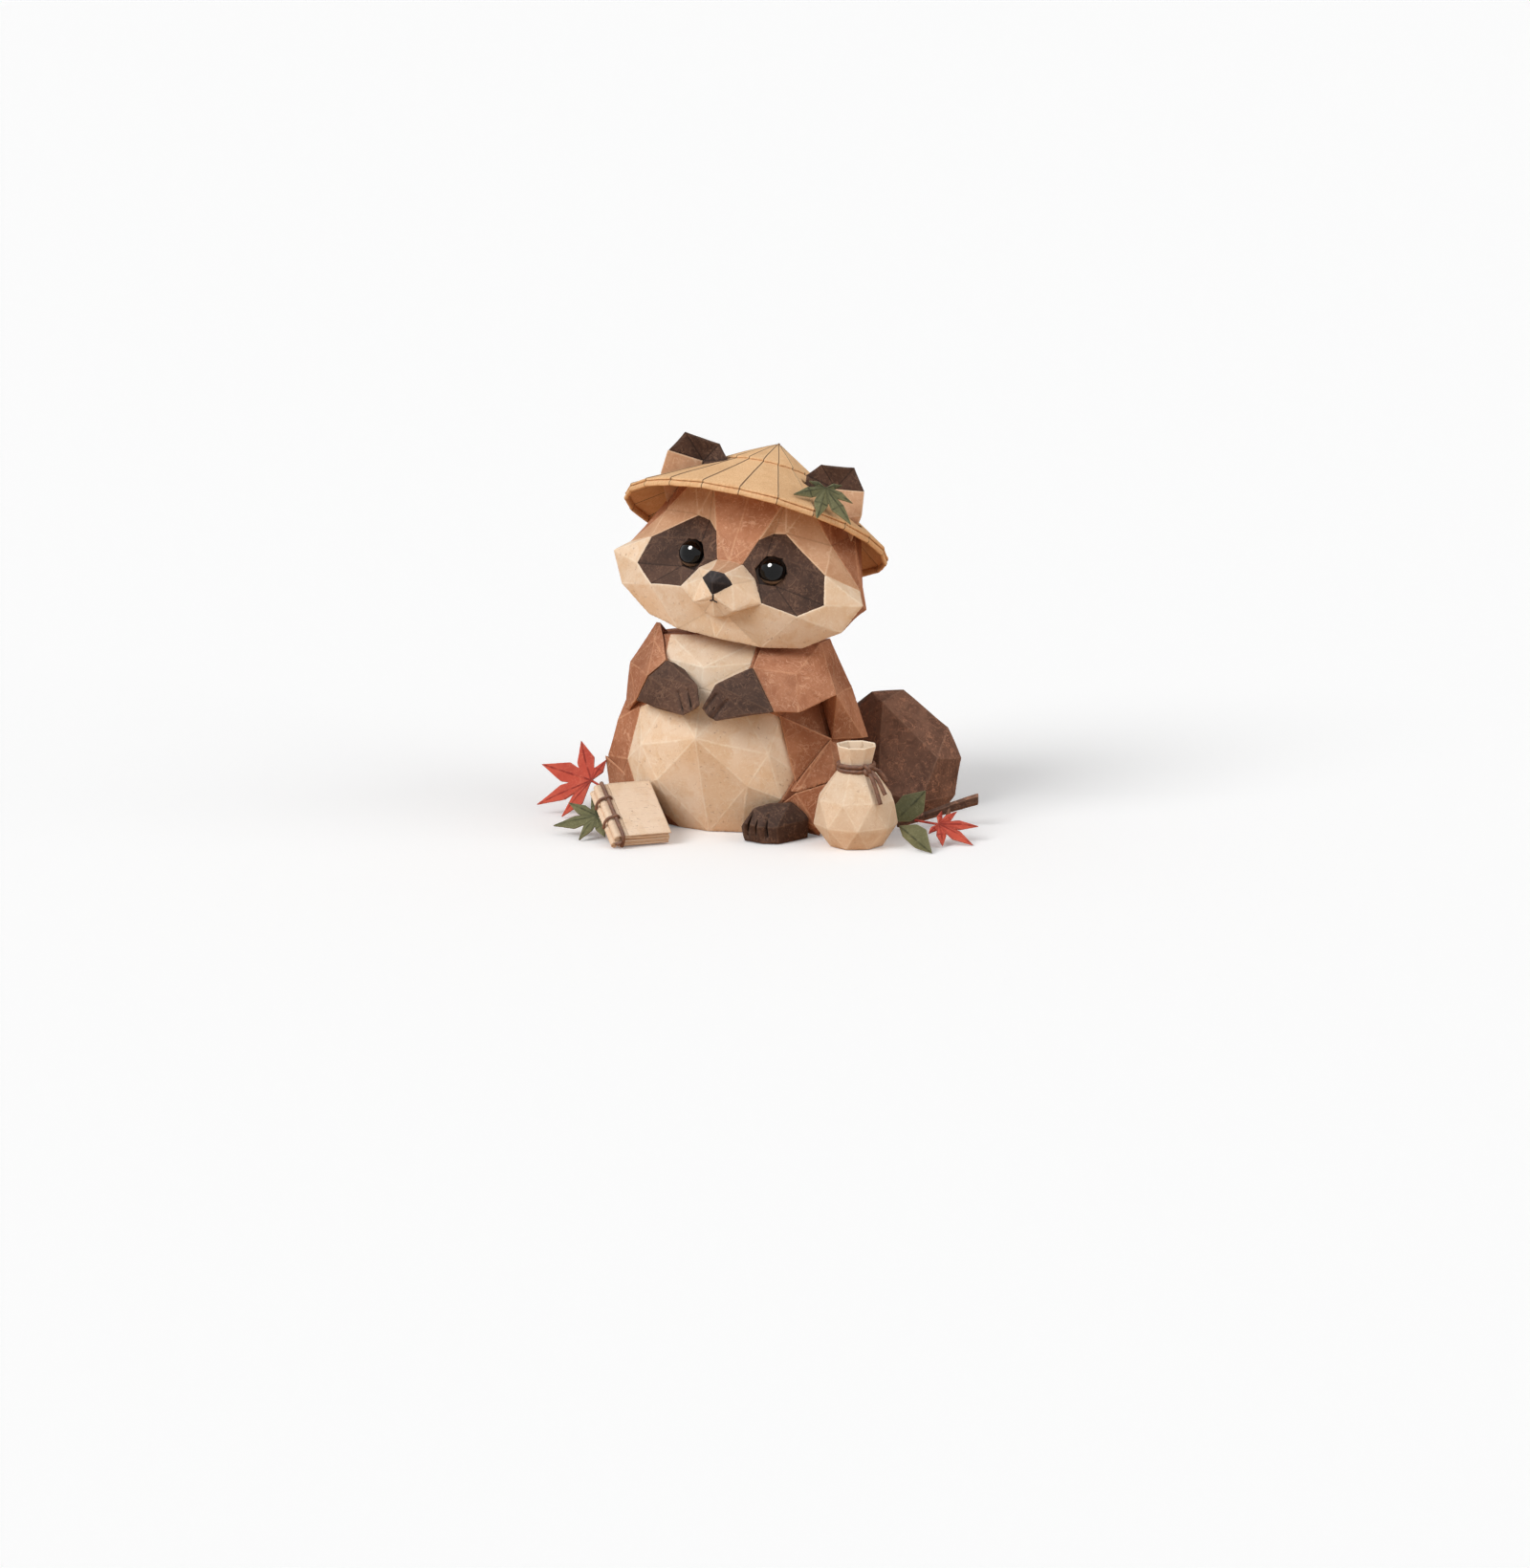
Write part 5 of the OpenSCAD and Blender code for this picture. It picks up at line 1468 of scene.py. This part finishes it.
@dataclass
class Pouch:
    """The pouch, the two turns of its tie and the knot with its tails."""

    throat_radius: float = 7.2 * MM
    throat_rise: float = 36.66 * MM
    cord: float = 2.1 * MM
    pitch: float = 9 * MM
    knot_pitch: float = 7 * MM
    radius: float = 19.5 * MM
    height: float = 47.0 * MM
    knot_place: Place = field(default_factory=lambda: Place(POUCH.origin, turn("z", -38.0)))
    knot_turns: tuple[tuple[Triple, Triple, float], ...] = (
        ((0.45, -0.1, -0.1), (0.1, 1.0, 0.35), 1.05),
        ((0.75, 0.35, 0.35), (-0.5, 0.35, 0.8), 0.62),
        ((0.75, -0.35, -0.55), (0.7, 0.5, 0.5), 0.5),
    )
    tails: tuple[tuple[Triple, ...], ...] = (
        ((0.52, -0.02, 0.79), (0.72, 0.02, 0.675), (0.96, 0.06, 0.47)),
        ((0.52, 0.03, 0.79), (0.74, 0.13, 0.69), (0.9, 0.23, 0.55)),
        ((0.5, 0.06, 0.79), (0.54, 0.28, 0.755), (0.61, 0.46, 0.65)),
    )

    def turn_of_cord(self, side: int, sway: float) -> Surface:
        """Lays a closed turn round the throat.

        Args:
            side: 1 for the upper turn and -1 for the lower one.
            sway: how far its height sways once round.

        Returns:
            The turn.
        """
        a = np.linspace(0, 2 * math.pi, 120, endpoint=False)
        r = self.throat_radius + self.cord * 0.42
        z = self.throat_rise + side * self.cord * 0.47 + sway * np.sin(a + 0.8)
        path = POUCH.out(np.stack([r * np.cos(a), r * np.sin(a), z], -1))
        return rope(path, self.cord / 2, (0, 0, 1), pitch=self.pitch, closed=True, notched=0.04)

    def knot_turn(self, middle: Triple, axis: Triple, reach: float) -> Surface:
        """Lays a small ring of cord, one of the turns of the knot.

        Args:
            middle: its middle from the throat's side, in thicknesses of the cord.
            axis: what it goes round.
            reach: its radius, in thicknesses of the cord.

        Returns:
            The ring.
        """
        along = unit(np.array(axis))
        side = unit(np.cross(along, [0.3, 0.2, 0.9]))
        a = np.linspace(0, 2 * math.pi, 36, endpoint=False)[:, None]
        ring = np.array(middle) + reach * (np.cos(a) * side + np.sin(a) * np.cross(along, side))
        ring = ring * self.cord + np.array([self.throat_radius + self.cord * 0.6, 0, self.throat_rise])
        return rope(self.knot_place.out(ring), self.cord * 0.48, self.knot_place.axes @ along,
                    pitch=self.knot_pitch, closed=True, notched=0.04)

    def knot(self) -> Surface:
        """Ties the knot: a turn over both cords, two across it, and the tails.

        Returns:
            The knot.
        """
        made = [self.knot_turn(*numbers) for numbers in self.knot_turns]
        across = self.knot_place.axes @ np.array([0, 1.0, 0])
        for shares in self.tails:
            path = smooth_path(np.array(shares) * np.array([self.radius, self.radius, self.height]), 16)
            made.append(rope(self.knot_place.out(path), self.cord / 2, across, pitch=self.pitch, flat=0.9,
                             notched=0.05))
        return together(made)

    def build(self, shop: Workshop) -> None:
        """Dresses the pouch and ties it.

        Args:
            shop: puts the pieces on the frame.
        """
        shop.fold("pouch", Finish.POUCH, Folding(pillow=0.25 * MM, roundness=0.5 * MM))
        turns = together([self.turn_of_cord(-1, 0.12 * MM), self.turn_of_cord(1, -0.08 * MM)])
        shop.place(turns, "tie_turns", "pouch", Finish.CORD, "tie_cord")
        shop.place(self.knot(), "tie_knot_cord", "pouch", Finish.CORD, "tie_knot")


@dataclass
class Notebook:
    """Two bundles of pages, their rolled spines, the cover and the binding, in the notebook's own frame."""

    width: float = 28.4
    length: float = 37.0
    roll: float = 1.7
    page: float = 0.4
    leaf: float = 0.46
    cord_x: float = 5.0
    cord_top: float = 7.55
    cord_radius: float = 0.95
    loop_radius: float = 0.66
    loops: tuple[float, ...] = (0.34, 0.7)
    crease: float = 7.9
    cover: float = 0.5
    cover_rise: float = 6.78
    cover_bow: float = 0.1

    def across(self, near: float = 0.0, far: float = 0.0) -> Array:
        """Rows of a sheet along the spine, from near to far short of the length."""
        return np.linspace(near, self.length - far, 26) * MM

    def pages(self, spine: tuple[float, float], edge: tuple[float, float], count: int, start: float,
              seed: int) -> Surface:
        """A bundle of pages, each a little askew.

        Args:
            spine: lowest and highest page at the spine.
            edge: lowest and highest page at the fore edge.
            count: how many pages.
            start: where they begin.
            seed: choice of how they lie askew.

        Returns:
            The pages as one surface.
        """
        rng = np.random.default_rng(seed)
        made = []
        for share in np.linspace(0, 1, count):
            x = np.linspace(start, self.width - rng.uniform(0.1, 0.9), 30)
            t = (x - start) / (self.width - start)
            near, far = (low + (high - low) * share for low, high in (spine, edge))
            z = near + (far - near) * np.sin(t * math.pi / 2) + rng.uniform(-0.07, 0.07) * np.sin(5 * t)
            rows = self.across(*rng.uniform(0.1, 1.1, 2))
            made.append(sheet(np.stack([x, z], -1) * MM, rows, self.leaf * MM, 0.05 * MM, rng.uniform(-1, 1)))
        return together(made)

    def rolled(self, x: float, z: float, end: float, near: float) -> Surface:
        """Makes a rolled spine that runs out into a flat sheet.

        The profile is a spiral whose radius grows from 0.22 mm to the roll's own in two and a half
        turns, and then leads straight on from its top to the end.

        Args:
            x: the roll's middle from the spine.
            z: height of its middle.
            end: where the sheet ends.
            near: how far short of the near edge it starts.

        Returns:
            The spine with its sheet.
        """
        a = np.linspace(-4.5 * math.pi, 0.5 * math.pi, 110)
        r = np.interp(a, [a[0], a[-1]], [0.22, self.roll - self.page / 2])
        spiral = np.stack([x - r * np.cos(a), z + r * np.sin(a)], -1)
        run = np.linspace(spiral[-1, 0], end, 18)[1:]
        profile = np.vstack([spiral, np.stack([run, np.full_like(run, spiral[-1, 1])], -1)])
        return sheet(profile * MM, self.across(near, 0.1), self.page * MM, 0.0, 0.2)

    def cords(self) -> Surface:
        """Lays the cord that runs down the spine and over the near edge, and its loops round the upper roll.

        Returns:
            The cord.
        """
        x, top = self.cord_x, self.cord_top
        run = smooth_path([[x, 37.4, top - 0.3], [x, 33, top], [x, 22, top], [x, 10, top], [x, 1.2, top],
                           [x + 0.1, -0.75, top - 1.3], [x + 0.1, -0.95, 4.4], [x, -0.7, 1.5]], 12)
        made = [rope(BOOK.out(run * MM), self.cord_radius * MM, BOOK.axes[:, 0], pitch=14 * MM, notched=0.0)]
        paths = [[[x + 0.4, -1.0, 5.6], [x - 1.2, -1.15, 3.9], [1.6, -0.9, 3.3]]]
        for share in self.loops:
            y = share * self.length
            paths.append([[x + 1.75, y, 7.2], [x + 1.1, y, 8.2], [x, y + 0.1, 8.75], [x - 1.6, y + 0.2, 8.1],
                          [1.3, y + 0.1, 7.1], [0.15, y - 0.2, 5.4], [-0.35, y - 0.6, 3.2],
                          [-0.3, y - 0.8, 2.1]])
        for path in paths:
            made.append(rope(BOOK.out(smooth_path(path, 9) * MM), self.loop_radius * MM, BOOK.axes[:, 1],
                             pitch=8 * MM, notched=0.02))
        return together(made)

    def build(self, shop: Workshop) -> None:
        """Makes the notebook sheet by sheet.

        Args:
            shop: puts the pieces on the frame.
        """
        start = self.roll * 2 + 0.3
        lower = self.pages((0.35, 2.45), (0.3, 2.7), 4, start, 3)
        upper = self.pages((5.1, 6.2), (3.9, 6.15), 3, start + 1.0, 11)
        x = np.linspace(self.crease + 0.1, self.width, 36)
        bow = self.cover_bow * np.sin((x - x[0]) / (x[-1] - x[0]) * math.pi)
        lid = np.stack([x, self.cover_rise + bow], -1)
        cover = sheet(lid * MM, self.across(), self.cover * MM, 0.05 * MM, 0.1)
        rolls = together([self.rolled(self.roll, self.roll, self.width - 0.3, 0.2),
                          self.rolled(self.roll * 1.7, self.roll * 2.96, self.crease, 0.5)])
        for surface, name, body, nodes in ((lower, "book_lower_pages", "book", "book_lower"),
                                           (upper, "book_upper_pages", "book", "book_upper"),
                                           (rolls, "book_rolled_spines", "book", "book_rolls"),
                                           (cover, "book_cover_sheet", "cover", "book_cover")):
            surface.points = BOOK.out(surface.points)
            shop.place(surface, name, body, Finish.PAGE, nodes)
        shop.place(self.cords(), "binding_cord", "book", Finish.CORD, "book_binding")


@dataclass
class Leaves:
    """The maple leaves, the plain leaves and the twig."""

    red: tuple[str, ...] = ("red_maple", "small_maple")
    green: tuple[str, ...] = ("green_maple", "leaf_upper", "leaf_lower")
    paper: Folding = Folding(least_turn=12.0, coarse=1.6 * MM, fine=0.7 * MM, pillow=0.12 * MM,
                             roundness=0.4 * MM)

    def build(self, shop: Workshop) -> None:
        """Dresses the leaves and the twig.

        Args:
            shop: puts the pieces on the frame.
        """
        for names, finish in ((self.red, Finish.RED), (self.green, Finish.GREEN), (("twig",), Finish.TAIL)):
            for name in names:
                shop.fold(name, finish, self.paper)


def main() -> None:
    """Builds the figure piece by piece."""
    logging.basicConfig(level=logging.INFO, format="%(name)s %(message)s")
    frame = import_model()
    stage = Stage()
    stage.camera()
    shop = Workshop(frame)
    for part in (Head(), Hat(), Body(), Pouch(), Notebook(), Leaves()):
        part.build(shop)
    stage.floor()
    stage.light()


if __name__ == "__main__":
    main()
